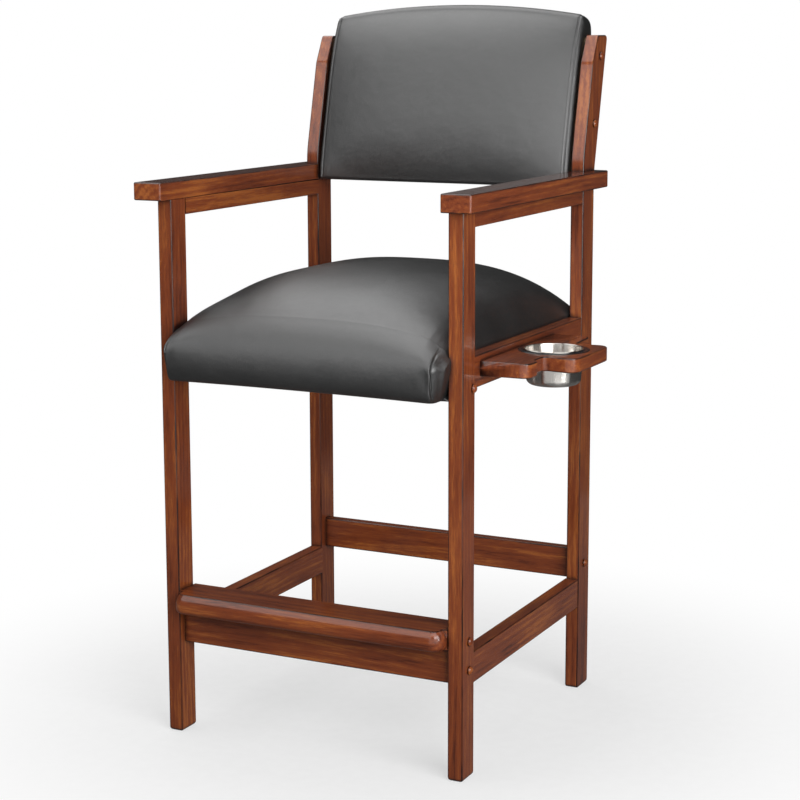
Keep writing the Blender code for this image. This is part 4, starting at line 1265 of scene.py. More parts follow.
@dataclass
class CupHolder:
    """The bracket on the left seat rail, its ring and the steel cup."""
    places: Places
    finishes: Finishes
    base_reach: float = 0.083
    neck_reach: float = 0.073
    rear_reach: float = 0.067
    rear_length: float = 0.190
    rear_slant: float = 0.004
    shoulder_length: float = 0.238
    notch_length: float = 0.216
    neck_length: float = 0.143
    flare_length: float = 0.160
    base_radius: float = 0.016
    notch_radius: float = 0.010
    neck_radius: float = 0.008
    flare_radius: float = 0.020
    ease: float = 0.0024
    ring_bore: float = 0.0492
    ring_wall: float = 0.0015
    ring_flange: float = 0.0037
    ring_round: float = 0.0014
    ring_bore_round: float = 0.0006
    cup_top: float = 0.0485
    cup_base: float = 0.04525
    cup_base_round: float = 0.010
    cup_wall: float = 0.0009
    wall_shares: tuple[float, ...] = (0.25, 0.5, 0.75, 0.97)
    lip: float = 0.0015
    lip_reach: float = 0.0508
    lip_root: float = 0.0004
    lip_round: Point = (0.0002, 0.0011)
    sides: int = 128

    def build(self) -> list[bpy.types.Object]:
        """Build and dress the holder."""
        return [self.bracket(), self.ring(), self.cup()]

    def centre(self) -> Vector:
        """The cup's axis, on the underside of its lip."""
        low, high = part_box("cup")
        return Vector(((low[0] + high[0]) / 2, (low[1] + high[1]) / 2, high[2] - self.lip))

    def bracket_outline(self) -> tuple[list[Point], list[float]]:
        """Plan of the bracket: a base along the rail, a neck on each side and a flared head.

        Returns:
            The outline and its marks.
        """
        low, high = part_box("cup_bracket")
        middle = (low[1] + high[1]) / 2
        rail = self.places.middle + self.places.rail_outer
        half = [
            (low[0], high[1] - middle, 0.0),
            (rail + self.base_reach, high[1] - middle, self.base_radius),
            (rail + self.base_reach, self.shoulder_length / 2, self.notch_radius),
            (rail + self.neck_reach, self.notch_length / 2, self.notch_radius),
            (rail + self.neck_reach, self.neck_length / 2, self.neck_radius),
            (high[0], self.flare_length / 2, self.flare_radius),
        ]
        rear = [
            (low[0], high[1] - middle, 0.0),
            (rail + self.rear_reach, high[1] - middle, self.base_radius),
            (rail + self.rear_reach + self.rear_slant, self.rear_length / 2, self.notch_radius),
        ] + half[-2:]
        points = [(x, middle - y, radius) for x, y, radius in half]
        points += [(x, middle + y, radius) for x, y, radius in reversed(rear)]
        return filleted(points, 10)

    def bracket(self) -> bpy.types.Object:
        """Build the bracket, bored and rebated for the ring.

        Returns:
            The piece.
        """
        low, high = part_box("cup_bracket")
        ring_low, ring_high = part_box("cup_ring")
        outline, marks = anticlockwise(*self.bracket_outline())
        rail_side = low[0] + MERGE
        eases = [(0.0, 0.0) if spot[0] <= rail_side else (self.ease, self.ease) for spot in outline]
        shape, loops = prism(outline, marks, (low[2], high[2]), Grain.UP, eases)
        hole = self.ring_bore + self.ring_wall + CLEAR
        rebate = (ring_high[0] - ring_low[0]) / 2 + CLEAR
        floor = ring_high[2] - self.ring_flange - CLEAR
        spot = self.centre()
        steps = [(hole, low[2]), (hole, floor), (rebate, floor), (rebate, high[2])]
        bore = turned(shape, steps, self.sides, Matrix.Translation((spot.x, spot.y, 0.0)))
        shape.fill(loops[0], bore[0])
        shape.fill(loops[-1], bore[-1])
        return wooden(shape, "cup_bracket", self.finishes.board, Grain.ALONG)

    def ring(self) -> bpy.types.Object:
        """Build the black ring, with a rounded outer rim.

        Returns:
            The piece.
        """
        low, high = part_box("cup_ring")
        outside, top = (high[0] - low[0]) / 2, high[2]
        wall, bore = self.ring_bore + self.ring_wall, self.ring_bore
        flange = top - self.ring_flange
        profile = [(bore, low[2]), (wall, low[2]), (wall, flange), (outside, flange)]
        profile += quarter((outside, top - self.ring_round), (outside - self.ring_round, top), 5, False)
        profile += quarter((bore + self.ring_bore_round, top), (bore, top - self.ring_bore_round), 3, True)
        shape = Shape()
        spot = self.centre()
        turned(shape, profile, self.sides, Matrix.Translation((spot.x, spot.y, 0.0)), closed=True)
        made = shape.publish("cup_ring_dressed", self.finishes.rubber)
        return stand_for(made, Slot.RING, CHAIR_BODY, "cup_ring")

    def cup(self) -> bpy.types.Object:
        """Build the steel cup, with a rolled lip.

        Returns:
            The piece.
        """
        spot = self.centre()
        depth = spot.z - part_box("cup")[0][2]
        base, top, outer = self.cup_base, self.cup_top, self.cup_base_round
        profile = [(0.0, -depth), (base * 0.4, -depth)]
        profile += quarter((base - outer, -depth), (base, outer - depth), 8, True)
        for share in self.wall_shares:
            profile.append((base + (top - base) * share, (outer - depth) * (1 - share)))
        profile.append((top + self.lip_root, 0.0))
        bead = self.lip / 2
        for step in range(9):
            turn = math.pi * step / 8 - math.pi / 2
            profile.append((self.lip_reach - bead + bead * math.cos(turn), bead + bead * math.sin(turn)))
        out, down = self.lip_round
        profile += quarter((top + out, self.lip), (top - self.cup_wall, self.lip - down), 4, True)
        inside, inner, floor = base - self.cup_wall, outer - self.cup_wall, self.cup_wall - depth
        profile += quarter((inside, floor + inner), (inside - inner, floor), 8, False)
        profile += [(base * 0.3, floor), (0.0, floor)]
        shape = Shape()
        turned(shape, profile, self.sides, Matrix.Translation(spot))
        made = shape.publish("cup_dressed", self.finishes.steel, 50.0, weighted=False)
        return stand_for(made, Slot.STEEL, CUP_BODY, "cup")


@dataclass
class Grid:
    """A soft piece's skin: loops of points across the chair, kept in order from shape to finished mesh."""
    loops: list[list[Vector]]
    pinned: list[bool]

    def build(self, name: str, material: bpy.types.Material) -> bpy.types.Object:
        """Turn the loops into one closed mesh with its points in order.

        Args:
            name: The object's name.
            material: Its finish.

        Returns:
            The object.
        """
        count = len(self.loops[0])
        spots = [tuple(spot) for loop in self.loops for spot in loop]
        faces = []
        for row in range(len(self.loops) - 1):
            for index in range(count):
                after = (index + 1) % count
                faces.append((row * count + index, row * count + after,
                              (row + 1) * count + after, (row + 1) * count + index))
        faces.append(tuple(range(count)))
        last = (len(self.loops) - 1) * count
        faces.append(tuple(range(last + count - 1, last - 1, -1)))
        mesh = bpy.data.meshes.new(name)
        mesh.from_pydata(spots, [], faces)
        shape = bmesh.new()
        shape.from_mesh(mesh)
        bmesh.ops.recalc_face_normals(shape, faces=shape.faces)
        shape.to_mesh(mesh)
        shape.free()
        mesh.shade_smooth()
        mesh.materials.append(material)
        made = bpy.data.objects.new(name, mesh)
        bpy.context.collection.objects.link(made)
        return made


@dataclass
class Stuffing:
    """The simulated swelling of a stuffed cover."""
    frames: int = 20
    cap: float = 0.004
    rounds: int = 24
    quality: int = 6
    stretch: float = 20.0
    shear: float = 8.0
    bending: float = 1.5

    def swell(self, covers: list[tuple[bpy.types.Object, list[int], float]]) -> None:
        """Swell covers by a cloth simulation and leave the result in their meshes.

        Args:
            covers: Each cover, the points of it that are held and its stuffing's pressure.
        """
        starts = []
        for cover, held, pressure in covers:
            group = cover.vertex_groups.new(name="held")
            group.add(held, 1.0, "REPLACE")
            cloth = cover.modifiers.new("stuffing", "CLOTH")
            settings = cloth.settings
            settings.use_pressure = True
            settings.uniform_pressure_force = pressure
            settings.effector_weights.gravity = 0.0
            settings.vertex_group_mass = group.name
            settings.quality = self.quality
            settings.tension_stiffness = self.stretch
            settings.compression_stiffness = self.stretch
            settings.shear_stiffness = self.shear
            settings.bending_stiffness = self.bending
            cloth.collision_settings.use_collision = False
            cloth.point_cache.frame_start = 1
            cloth.point_cache.frame_end = self.frames
            starts.append(read_spots(cover.data))
        scene = bpy.context.scene
        for number in range(1, self.frames + 1):
            scene.frame_set(number)
        graph = bpy.context.evaluated_depsgraph_get()
        for (cover, held, _), start in zip(covers, starts):
            moved = read_spots(cover.evaluated_get(graph).data) - start
            moved = self.even_out(cover.data, moved, held)
            length = numpy.linalg.norm(moved, axis=1)
            LOG.info("%s swelled by %.1f mm at most", cover.name, 1000 * length.max())
            scale = numpy.minimum(1.0, self.cap / numpy.maximum(length, 1e-9))
            write_spots(cover.data, start + moved * scale[:, None])
            cover.modifiers.remove(cover.modifiers["stuffing"])
            cover.vertex_groups.clear()
        scene.frame_set(1)

    def even_out(self, mesh: bpy.types.Mesh, moved: numpy.ndarray, held: list[int]) -> numpy.ndarray:
        """Share each point's travel with its neighbours, so that the swelling leaves no wrinkles.

        Args:
            mesh: The cover's mesh.
            moved: How far each point moved.
            held: The points that stay.

        Returns:
            How far each point moves.
        """
        ends = numpy.empty(len(mesh.edges) * 2, dtype=numpy.int32)
        mesh.edges.foreach_get("vertices", ends)
        first, second = ends[0::2], ends[1::2]
        count = numpy.maximum(numpy.bincount(ends, minlength=len(moved)), 1)[:, None]
        free = numpy.ones((len(moved), 1))
        free[held] = 0.0
        for _ in range(self.rounds):
            total = numpy.zeros(moved.shape)
            numpy.add.at(total, first, moved[second])
            numpy.add.at(total, second, moved[first])
            moved = free * (moved + total / count) / 2
        return moved


@dataclass
class Cover:
    """What the seat and the back pad share: a tensioned skin that is stuffed, smoothed and put in place of
    its imported node.
    """
    places: Places
    finishes: Finishes
    shrink: float = 0.0012
    pressure: float = 1.6

    def tension(self, grid: Grid, name: str) -> tuple[bpy.types.Object, list[int]]:
        """Build the skin and draw it in by as much as it will swell.

        Args:
            grid: The skin.
            name: The piece's name.

        Returns:
            The piece and the points that the frame holds.
        """
        made = grid.build(name, self.finishes.vinyl)
        spots = read_spots(made.data)
        for vertex in made.data.vertices:
            if not grid.pinned[vertex.index]:
                spots[vertex.index] -= numpy.array(vertex.normal) * self.shrink
        write_spots(made.data, spots)
        return made, [index for index, flag in enumerate(grid.pinned) if flag]

    def declare(self, made: bpy.types.Object, node: str) -> bpy.types.Object:
        """Args:
            made: The piece.
            node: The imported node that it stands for.

        Returns:
            The piece.
        """
        finer = made.modifiers.new("finer", "SUBSURF")
        finer.levels = 1
        finer.render_levels = 1
        stand_for(made, Slot.VINYL, CHAIR_BODY, node)
        return made


@dataclass
class Seat(Cover):
    """The crowned seat: its dropped front, its ears before the legs and the fold at each corner."""
    top_rise: float = 0.1085
    edge_rise: float = 0.004
    ear_rise: float = 0.018
    overhang: float = 0.0488
    nose_low: float = 0.6222
    low_arch: float = 0.0022
    waist: float = 0.031
    corner_waist: float = 0.024
    nose_radius: float = 0.015
    nose_tuck: float = 0.006
    corner_pull: float = 0.029
    ear: float = 0.0075
    ear_depth: float = 0.020
    ear_drop: float = 0.004
    corner_lift: float = 0.006
    lift_share: float = 0.88
    step: float = 0.0006
    row_lift: float = 0.0008
    row_steps: Point = (0.02, 0.0007)
    rear_rows: int = 24
    end_turns: tuple[float, ...] = (0.15, 0.35, 0.6, 0.85, 0.97)
    end_bulge: float = 0.0010
    crest_share: float = 0.433
    across_power: float = 2.9
    side_shoulder: float = 0.58
    front_power: float = 2.2
    front_shoulder: float = 0.52
    rear_power: float = 4.6
    rear_shoulder: float = 0.50
    drop_power: float = 2.0
    corner_power: float = 1.6
    fold_share: float = 0.93
    corner_share: float = 0.935
    drop_share: float = 0.85
    ear_root_share: float = 0.2
    fold_depth: float = 0.0050
    fold_width: float = 0.0011
    fold_apex: float = 0.005
    fold_start: float = 0.010
    fold_before_legs: float = 0.004
    fold_limit: float = 0.6
    # How strongly the fold's groove is painted dark as shade
    fold_shade: float = 1.3
    ear_puff: float = 0.0022
    puff_slope: float = 1.5
    puff_width: float = 0.0070
    puff_start: float = 0.013
    puff_end: Point = (0.030, 0.090)
    widen: float = 0.110
    body_share: float = 0.90

    def height(self, across: float, along: float, y: float) -> float:
        """Height of the seat's top, which rolls down to the nose's waist in front.

        Args:
            across: The share across, from -1 to 1.
            along: The share from front to rear, from -1 to 1.
            y: The same place as a Y.

        Returns:
            The height.
        """
        legs = self.places.front_face
        rise = self.ear_rise + (self.edge_rise - self.ear_rise) * smooth(y, legs, legs + self.widen)
        edge = self.places.rail_top + rise
        swell = (1 - abs(across) ** self.across_power) ** self.side_shoulder
        crest = edge + (self.places.rail_top + self.top_rise - edge) * swell
        if along >= 0:
            return edge + (crest - edge) * (1 - along ** self.rear_power) ** self.rear_shoulder
        waist = self.waist_at(across)
        height = waist + (crest - waist) * (1 - min(1.0, -along) ** self.front_power) ** self.front_shoulder
        return height if y < legs else max(height, self.places.rail_top + self.edge_rise)

    def waist_at(self, across: float) -> float:
        """Height at which the nose stands furthest out."""
        return self.nose_low + self.waist + self.corner_waist * abs(across) ** 6

    def nose_spot(self, across: float, y: float, z: float) -> Triple:
        """A point of the nose: round the corner in plan, out into the ear and down over the end.

        Args:
            across: The share across.
            y: Its Y before that.
            z: Its height before that.

        Returns:
            The point, with X measured from the chair's middle.
        """
        edge = self.places.rail_top + self.ear_rise
        legs = self.places.front_face - CLEAR
        half = self.places.rail_inner - CLEAR
        depth = legs - y
        corner = late(across, self.corner_share) ** self.corner_power
        depth -= depth * self.corner_pull / self.overhang * corner
        root = (1 - min(1.0, depth / self.ear_depth)) ** 2
        swell = 1 - (1 - self.ear_root_share) * root
        level = max(0.0, (edge - z) / (edge - self.nose_low))
        fold = self.fold_share * (half + self.ear)
        reach = half + self.ear * swell * (1 - level ** 2) - self.nose_tuck * level
        if abs(across) < self.fold_share:
            x = across * (half + self.ear)
        else:
            x = math.copysign(fold + late(across, self.fold_share) * (reach - fold), across)
        drop = self.ear_drop * late(across, self.drop_share) ** self.drop_power * swell
        lift = self.corner_lift * late(across, self.lift_share) ** 2 * level ** 4
        return x, legs - depth, z - drop * (1 - level) + lift

    def section(self, across: float) -> tuple[list[Vector], list[bool]]:
        """One section square to X: the body between the legs, then the nose.

        Args:
            across: The share across.

        Returns:
            Its points, and which of them the frame holds.
        """
        places = self.places
        edge = places.rail_top + self.edge_rise
        face = places.front_face - self.overhang
        legs = places.front_face - CLEAR
        nose_back = places.front_rail_face - CLEAR
        underside = places.deck_top + CLEAR
        rear = places.rear_rail_back
        crest = face + (rear - face) * self.crest_share
        legs_share = (legs - crest) / (crest - face)

        def top(along: float) -> Point:
            reach = crest - face if along < 0 else rear - crest
            return crest + along * reach, self.height(across, along, crest + along * reach)

        body = run((legs, self.nose_low), (nose_back, self.nose_low), 4)
        body += run((nose_back, self.nose_low), (nose_back, underside), 8)
        body += run((nose_back, underside), (rear, underside), 30)
        body += run((rear, underside), (rear, edge), 4)
        held = len(body)
        step, growth = self.row_steps
        rows = [1 - step * index - growth * index * index for index in range(self.rear_rows + 1)]
        body += [top(share) for share in rows[:-1]]
        body += [top(rows[-1] + (legs_share - rows[-1]) * index / 28) for index in range(29)]
        nose = [(legs - self.step, top(legs_share)[1])]
        for index in range(1, 21):
            nose.append(top(legs_share + (-1 - legs_share) * math.sin(math.pi / 2 * index / 20)))
        low = self.nose_low + self.low_arch * (1 - across * across)
        nose += quarter((face, self.waist_at(across)), (face + self.nose_radius, low), 14, False)[1:]
        free = len(nose)
        nose += run((face + self.nose_radius, low), (legs - self.step, self.nose_low), 5)[1:]
        nose.append((legs - self.step, self.nose_low))
        half = places.rail_inner - CLEAR
        spots = []
        for y, z in body:
            wide = half + self.ear * (1 - smooth(y, legs, legs + self.widen))
            inner = min(abs(across), self.body_share)
            reach = wide * inner + (half - wide * self.body_share) * late(across, self.body_share)
            spots.append(Vector((places.middle + math.copysign(reach, across), y, z)))
        for spot in nose:
            x, y, z = self.nose_spot(across, *spot)
            spots.append(Vector((places.middle + x, y, z)))
        pinned = [index < held or index >= len(body) + free for index in range(len(spots))]
        return spots, pinned

    def stations(self) -> list[float]:
        """The shares across at which the seat has a section, closer together at its folds.

        Returns:
            The shares.
        """
        shares = [0.034 * index for index in range(25)]
        shares += [0.85 + 0.0075 * index for index in range(21)]
        shares += [self.fold_share + offset for offset in (-0.0050, -0.0025, 0.0, 0.0025, 0.0050)]
        shares = sorted(set(round(share, 5) for share in shares))
        return [-share for share in shares[:0:-1]] + shares

    def grid(self) -> Grid:
        """The seat's skin before it is stuffed.

        Returns:
            The skin.
        """
        loops, pinned = [], []
        for share in self.stations():
            spots, held = self.section(share)
            loops.append(spots)
            pinned += [flag or abs(share) == 1 for flag in held]
        left = [[self.end_spot(spot, -1, turn) for spot in loops[0]] for turn in self.end_turns]
        right = [[self.end_spot(spot, 1, turn) for spot in loops[-1]] for turn in self.end_turns]
        ends = [True] * (len(self.end_turns) * len(loops[0]))
        return Grid(left[::-1] + loops + right, ends + pinned + ends)

    def end_spot(self, spot: Vector, sign: int, turn: float) -> Vector:
        """A point of the seat's end, which closes the outermost section.

        Args:
            spot: The point of the outermost section that it belongs to.
            sign: The sign of its side.
            turn: How far it has gone inwards, from 0 to 1.

        Returns:
            The point.
        """
        legs = self.places.front_face - CLEAR
        underside = self.places.deck_top + CLEAR
        if spot.y < legs - self.step / 2:
            bulge = sign * self.end_bulge * math.sin(math.pi * turn)
            return Vector((spot.x + bulge, legs - (legs - spot.y) * (1 - turn), spot.z))
        if spot.z > underside:
            return Vector((spot.x, spot.y, underside + (spot.z - underside) * (1 - turn)))
        return Vector((spot.x, spot.y, spot.z + self.row_lift * turn))

    def press_folds(self, made: bpy.types.Object) -> None:
        """Press the fold at each corner, puff the ear out beside it and mark painted shade along the fold's
        groove.

        Args:
            made: The stuffed seat.
        """
        spots = read_spots(made.data)
        edge = self.places.rail_top + self.ear_rise
        legs = self.places.front_face - CLEAR
        fold = self.fold_share * (self.places.rail_inner - CLEAR + self.ear)
        apex = edge - self.fold_apex
        shade = [0.0] * len(spots)
        for index, (x, y, z) in enumerate(spots):
            if y > legs - self.fold_before_legs:
                continue
            out = abs(x - self.places.middle) - fold
            groove = math.exp(-(out / self.fold_width) ** 2) * smooth(apex - z, 0.0, self.fold_start)
            beyond = smooth(out, 0.0, self.puff_width)
            below = smooth(apex - out * self.puff_slope - z, 0.0, self.puff_start)
            puff = beyond * below * (1 - smooth(edge - z, *self.puff_end))
            depth = self.fold_depth * groove - self.ear_puff * puff
            spots[index, 1] = y + min(depth, (legs - y) * self.fold_limit)
            # Painted shade: the groove's depth sets how dark the fold is painted
            shade[index] = min(1.0, groove * self.fold_shade)
        write_spots(made.data, spots)
        write_marks(made.data, "fold", shade)

    def build(self) -> tuple[bpy.types.Object, list[int]]:
        """The seat's tensioned skin and the points that the frame holds."""
        return self.tension(self.grid(), "seat_cushion_dressed")

    def finish(self, made: bpy.types.Object) -> bpy.types.Object:
        self.press_folds(made)
        return self.declare(made, "seat_cushion")


@dataclass
class BackRest(Cover):
    """The crowned back pad, its stitched side seams and the covered panel behind it."""
    shrink: float = 0.0006
    pressure: float = 0.22
    side_gap: float = 0.0052
    low: float = -0.0505
    high: float = 0.2645
    top_crown: float = 0.0200
    proud: float = 0.0015
    sweep: float = 0.015
    front_crown: float = 0.024
    back: float = 0.054
    lower_radius: float = 0.008
    rear_roll: float = 0.026
    side_roll: float = 0.006
    corner_drop: float = 0.010
    across_power: float = 3.0
    upright_power: float = 3.0
    sweep_power: int = 4
    sweep_share: float = 0.40
    roll_share: float = 0.960
    side_share: float = 0.97
    corner_share: float = 0.95
    flat_shares: Point = (0.30, 0.62)
    board_thickness: float = 0.018
    board_setback: float = 0.032
    board_low: float = -0.0284
    board_high: float = 0.2234
    panel_thickness: float = 0.011
    panel_round: float = 0.0045
    panel_crown: float = 0.0022
    panel_steps: tuple[int, int] = (40, 26)
    seam_inset: float = 0.0085
    seam_depth: float = 0.0016
    seam_width: float = 0.0013
    seam_foot: float = 0.004
    seam_back: float = 0.045
    seam_turn: Point = (-0.02, 0.01)
    pucker: float = 0.00035
    pucker_pitch: float = 0.009
    pucker_offset: float = 0.003
    pucker_width: float = 0.005
    stitch_pitch: float = 0.0046
    stitch_length: float = 0.0032
    stitch_radius: float = 0.00055
    stitch_rows: Point = (0.0034, -0.0030)
    stitch_ends: Point = (0.012, 0.006)
    stitch_rings: tuple[Triple, ...] = (
        (0.08, 0.7, 0.0), (0.3, 1.0, 0.45), (0.7, 1.0, 0.45), (0.92, 0.7, 0.0),
    )
    stitch_sides: int = 7
    ray_start: float = -0.08
    ray_length: float = 0.2

    def half(self) -> float:
        """Half of the pad's width."""
        return self.places.post_inner - self.side_gap

    def section(self, across: float) -> tuple[list[Point], list[bool]]:
        """One section as (along, back), open behind for the board.

        Args:
            across: The share across.

        Returns:
            Its points, and which of them the board holds.
        """
        high = self.high + self.top_crown * (1 - across * across)
        high -= self.corner_drop * rounded_off(late(across, self.corner_share))
        span = high - self.low
        crown = self.front_crown * (1 - abs(across) ** self.across_power)
        roll = self.side_roll * rounded_off(late(across, self.side_share))

        def front(share: float) -> Point:
            swept = self.sweep * ((share - self.sweep_share) / (1 - self.sweep_share)) ** self.sweep_power
            swell = crown * (1 - abs(2 * share - 1) ** self.upright_power)
            return self.low + span * share, swept - self.proud - swell + roll

        def under(back: float) -> float:
            return self.low + back * math.tan(self.places.rake)

        turn = front(self.lower_radius / span)
        heel = turn[1] + self.lower_radius
        points = run((under(self.back), self.back), (under(heel), heel), 6)
        held = len(points)
        points += quarter((under(heel), heel), turn, 6, False)
        first = self.lower_radius / span
        points += [front(first + (self.roll_share - first) * index / 34) for index in range(1, 34)]
        shoulder = front(self.roll_share)
        flats = [shoulder[1] + share * (self.back - shoulder[1]) for share in self.flat_shares]
        points += quarter(shoulder, (high, flats[0]), 10, True)
        points += quarter((high, flats[1]), (high - self.rear_roll, self.back), 8, False)
        free = len(points)
        pocket = self.board_setback - self.board_thickness / 2 - CLEAR
        points += run((high - self.rear_roll, self.back), (self.board_high + CLEAR, self.back), 4)[1:]
        points += run((self.board_high + CLEAR, self.back), (self.board_high + CLEAR, pocket), 3)
        points += run((self.board_high + CLEAR, pocket), (self.board_low - CLEAR, pocket), 16)
        points += run((self.board_low - CLEAR, pocket), (self.board_low - CLEAR, self.back), 3)
        points.append((self.board_low - CLEAR, self.back))
        pinned = [index < held or index >= free for index in range(len(points))]
        return points, pinned

    def grid(self) -> Grid:
        """The pad's skin before it is stuffed.

        Returns:
            The skin.
        """
        shares = [0.036 * index for index in range(25)]
        shares += [0.88 + 0.006 * index for index in range(15)]
        shares += [0.97 + 0.03 * math.sin(math.pi / 2 * index / 8) for index in range(9)]
        shares = sorted(set(round(share, 6) for share in shares))
        shares = [-share for share in shares[:0:-1]] + shares
        loops, pinned = [], []
        for share in shares:
            points, held = self.section(share)
            loops.append([Vector((self.places.middle + share * self.half(), *self.places.leaning(*spot)))
                          for spot in points])
            pinned += [flag or abs(share) > 0.9999 for flag in held]
        return Grid(loops, pinned)

    def build(self) -> tuple[bpy.types.Object, list[int]]:
        """The pad's tensioned skin and the points that the board holds."""
        return self.tension(self.grid(), "back_cushion_dressed")

    def seam_line(self) -> float:
        """How far from the chair's middle the side seams run."""
        return self.half() - self.seam_inset

    def press_seams(self, made: bpy.types.Object) -> None:
        """Press the side seams into the pad, with small puckers along them.

        Args:
            made: The stuffed pad.
        """
        spots = read_spots(made.data)
        lean, rise = math.sin(self.places.rake), math.cos(self.places.rake)
        line = self.seam_line()
        for index, (x, y, z) in enumerate(spots):
            along = (y - self.places.post_front) * lean + (z - self.places.front_bend) * rise
            back = (y - self.places.post_front) * rise - (z - self.places.front_bend) * lean
            if back > self.seam_back or along < self.low + self.seam_foot:
                continue
            out = abs(x - self.places.middle) - line
            depth = self.seam_depth * math.exp(-(out / self.seam_width) ** 2)
            fade = math.exp(-((out + self.pucker_offset) / self.pucker_width) ** 2)
            depth += self.pucker * math.sin(2 * math.pi * along / self.pucker_pitch) * fade
            top = smooth(along, self.high + self.seam_turn[0], self.high + self.seam_turn[1])
            spots[index, 1] += depth * (rise * (1 - top) - lean * top)
            spots[index, 2] -= depth * (lean * (1 - top) + rise * top)
        write_spots(made.data, spots)

    def finish(self, made: bpy.types.Object) -> list[bpy.types.Object]:
        """Args:
            made: The stuffed pad.

        Returns:
            The pieces.
        """
        self.press_seams(made)
        self.declare(made, "back_cushion")
        return [made, self.stitching(made), self.panel()]

    def stitching(self, pad: bpy.types.Object) -> bpy.types.Object:
        """Sew a row of stitches beside each side seam.

        Args:
            pad: The finished pad.

        Returns:
            The stitches, one piece.
        """
        graph = bpy.context.evaluated_depsgraph_get()
        cover = BVHTree.FromObject(pad, graph)
        places = self.places
        lean, rise = math.sin(places.rake), math.cos(places.rake)
        inward = Vector((0.0, rise, -lean))
        shape = Shape()
        for side in Side:
            for offset in self.stitch_rows:
                x = places.middle + side.value * (self.seam_line() - offset)
                along = self.low + self.stitch_ends[0]
                while along < self.high - self.stitch_ends[1]:
                    ends = []
                    for share in (0, 1):
                        y, z = places.leaning(along + share * self.stitch_length, self.ray_start)
                        hit, normal, _, _ = cover.ray_cast(Vector((x, y, z)), inward, self.ray_length)
                        if hit is not None:
                            ends.append((hit, normal))
                    if len(ends) == 2:
                        self.stitch(shape, ends)
                    along += self.stitch_pitch
        made = shape.publish("back_stitching", self.finishes.thread, 80.0, weighted=False)
        return stand_for(made, Slot.VINYL, CHAIR_BODY)

    def stitch(self, shape: Shape, ends: list[tuple[Vector, Vector]]) -> None:
        """Add one stitch, half sunk into the cover.

        Args:
            shape: The shape that it joins.
            ends: Its two ends on the cover, each with the cover's normal.
        """
        (start, normal), (end, _) = ends
        way = (end - start).normalized()
        across = way.cross(normal).normalized()
        up = across.cross(way).normalized()
        loops = [shape.loop([start - up * self.stitch_radius * 0.5])]
        for share, size, lift in self.stitch_rings:
            middle = start.lerp(end, share) + up * self.stitch_radius * lift
            ring = []
            for index in range(self.stitch_sides):
                turn = 2 * math.pi * index / self.stitch_sides
                spoke = across * math.cos(turn) + up * math.sin(turn)
                ring.append(middle + spoke * self.stitch_radius * size)
            loops.append(shape.loop(ring))
        loops.append(shape.loop([end - up * self.stitch_radius * 0.5]))
        shape.skin(loops)

    def panel(self) -> bpy.types.Object:
        """Build the covered panel behind the board, softly rounded and slightly crowned.

        Returns:
            The piece.
        """
        places, shape = self.places, Shape()
        face = self.board_setback + self.board_thickness / 2 + self.panel_thickness + CLEAR
        half, reach = self.half(), (self.board_high - self.board_low) / 2
        columns, rows = self.panel_steps
        loops = []
        for row in range(rows + 1):
            v = self.crowded(2 * row / rows - 1)
            line = []
            for column in range(columns + 1):
                u = self.crowded(2 * column / columns - 1)
                rim = min((1 - abs(u)) * half, (1 - abs(v)) * reach)
                roll = self.panel_round * rounded_off(1 - min(1.0, rim / self.panel_round))
                swell = self.panel_crown * (1 - u ** 4) * (1 - v ** 4)
                along = (self.board_low + self.board_high) / 2 + v * reach
                line.append(Vector((places.middle + u * half, *places.leaning(along, face - roll + swell))))
            loops.append(shape.loop(line))
        shape.skin(loops, closed=False)
        right, left = [row[-1] for row in loops[1:-1]], [row[0] for row in loops[-2:0:-1]]
        rim = loops[0] + right + loops[-1][::-1] + left
        inward = Vector((0.0, -math.cos(places.rake), math.sin(places.rake)))
        base = shape.loop([vertex.co + inward * (self.panel_thickness - self.panel_round) for vertex in rim])
        shape.skin([rim, base])
        shape.cap(base)
        made = shape.publish("back_panel_dressed", self.finishes.vinyl, 60.0, weighted=False)
        stand_for(made, Slot.VINYL, CHAIR_BODY, "back_rear_pad")
        return made

    def crowded(self, share: float) -> float:
        """A share from -1 to 1, drawn towards the ends, so that the panel's rims have closer rows."""
        return math.copysign(1 - (1 - abs(share)) ** 1.6, share)


@dataclass
class Upholstery:
    """Seat and back rest together, since one simulation stuffs them both."""
    places: Places
    finishes: Finishes

    def build(self) -> list[bpy.types.Object]:
        """Build, stuff and dress the upholstery.

        Returns:
            Its pieces.
        """
        seat, rest = Seat(self.places, self.finishes), BackRest(self.places, self.finishes)
        seat_cover, seat_held = seat.build()
        pad_cover, pad_held = rest.build()
        Stuffing().swell([(seat_cover, seat_held, seat.pressure), (pad_cover, pad_held, rest.pressure)])
        plywood = self.finishes.plywood
        dress_packed({"seat_deck": plywood, "back_board": plywood, "seat_dust_cover": self.finishes.lining,
                      "screw": self.finishes.zinc})
        return [seat.finish(seat_cover), *rest.finish(pad_cover)]


@dataclass(frozen=True)
class Softbox:
    """A rectangular lamp that faces the chair: where it hangs, its size and its power."""
    name: str
    way: Triple
    distance: float
    size: Point
    power: float


@dataclass(frozen=True)
class Screen:
    """A curved screen that only mirrors see: its span in degrees from front to right, and its light."""
    name: str
    span: Point
    level: float
    top: float
    foot: float = 0.002


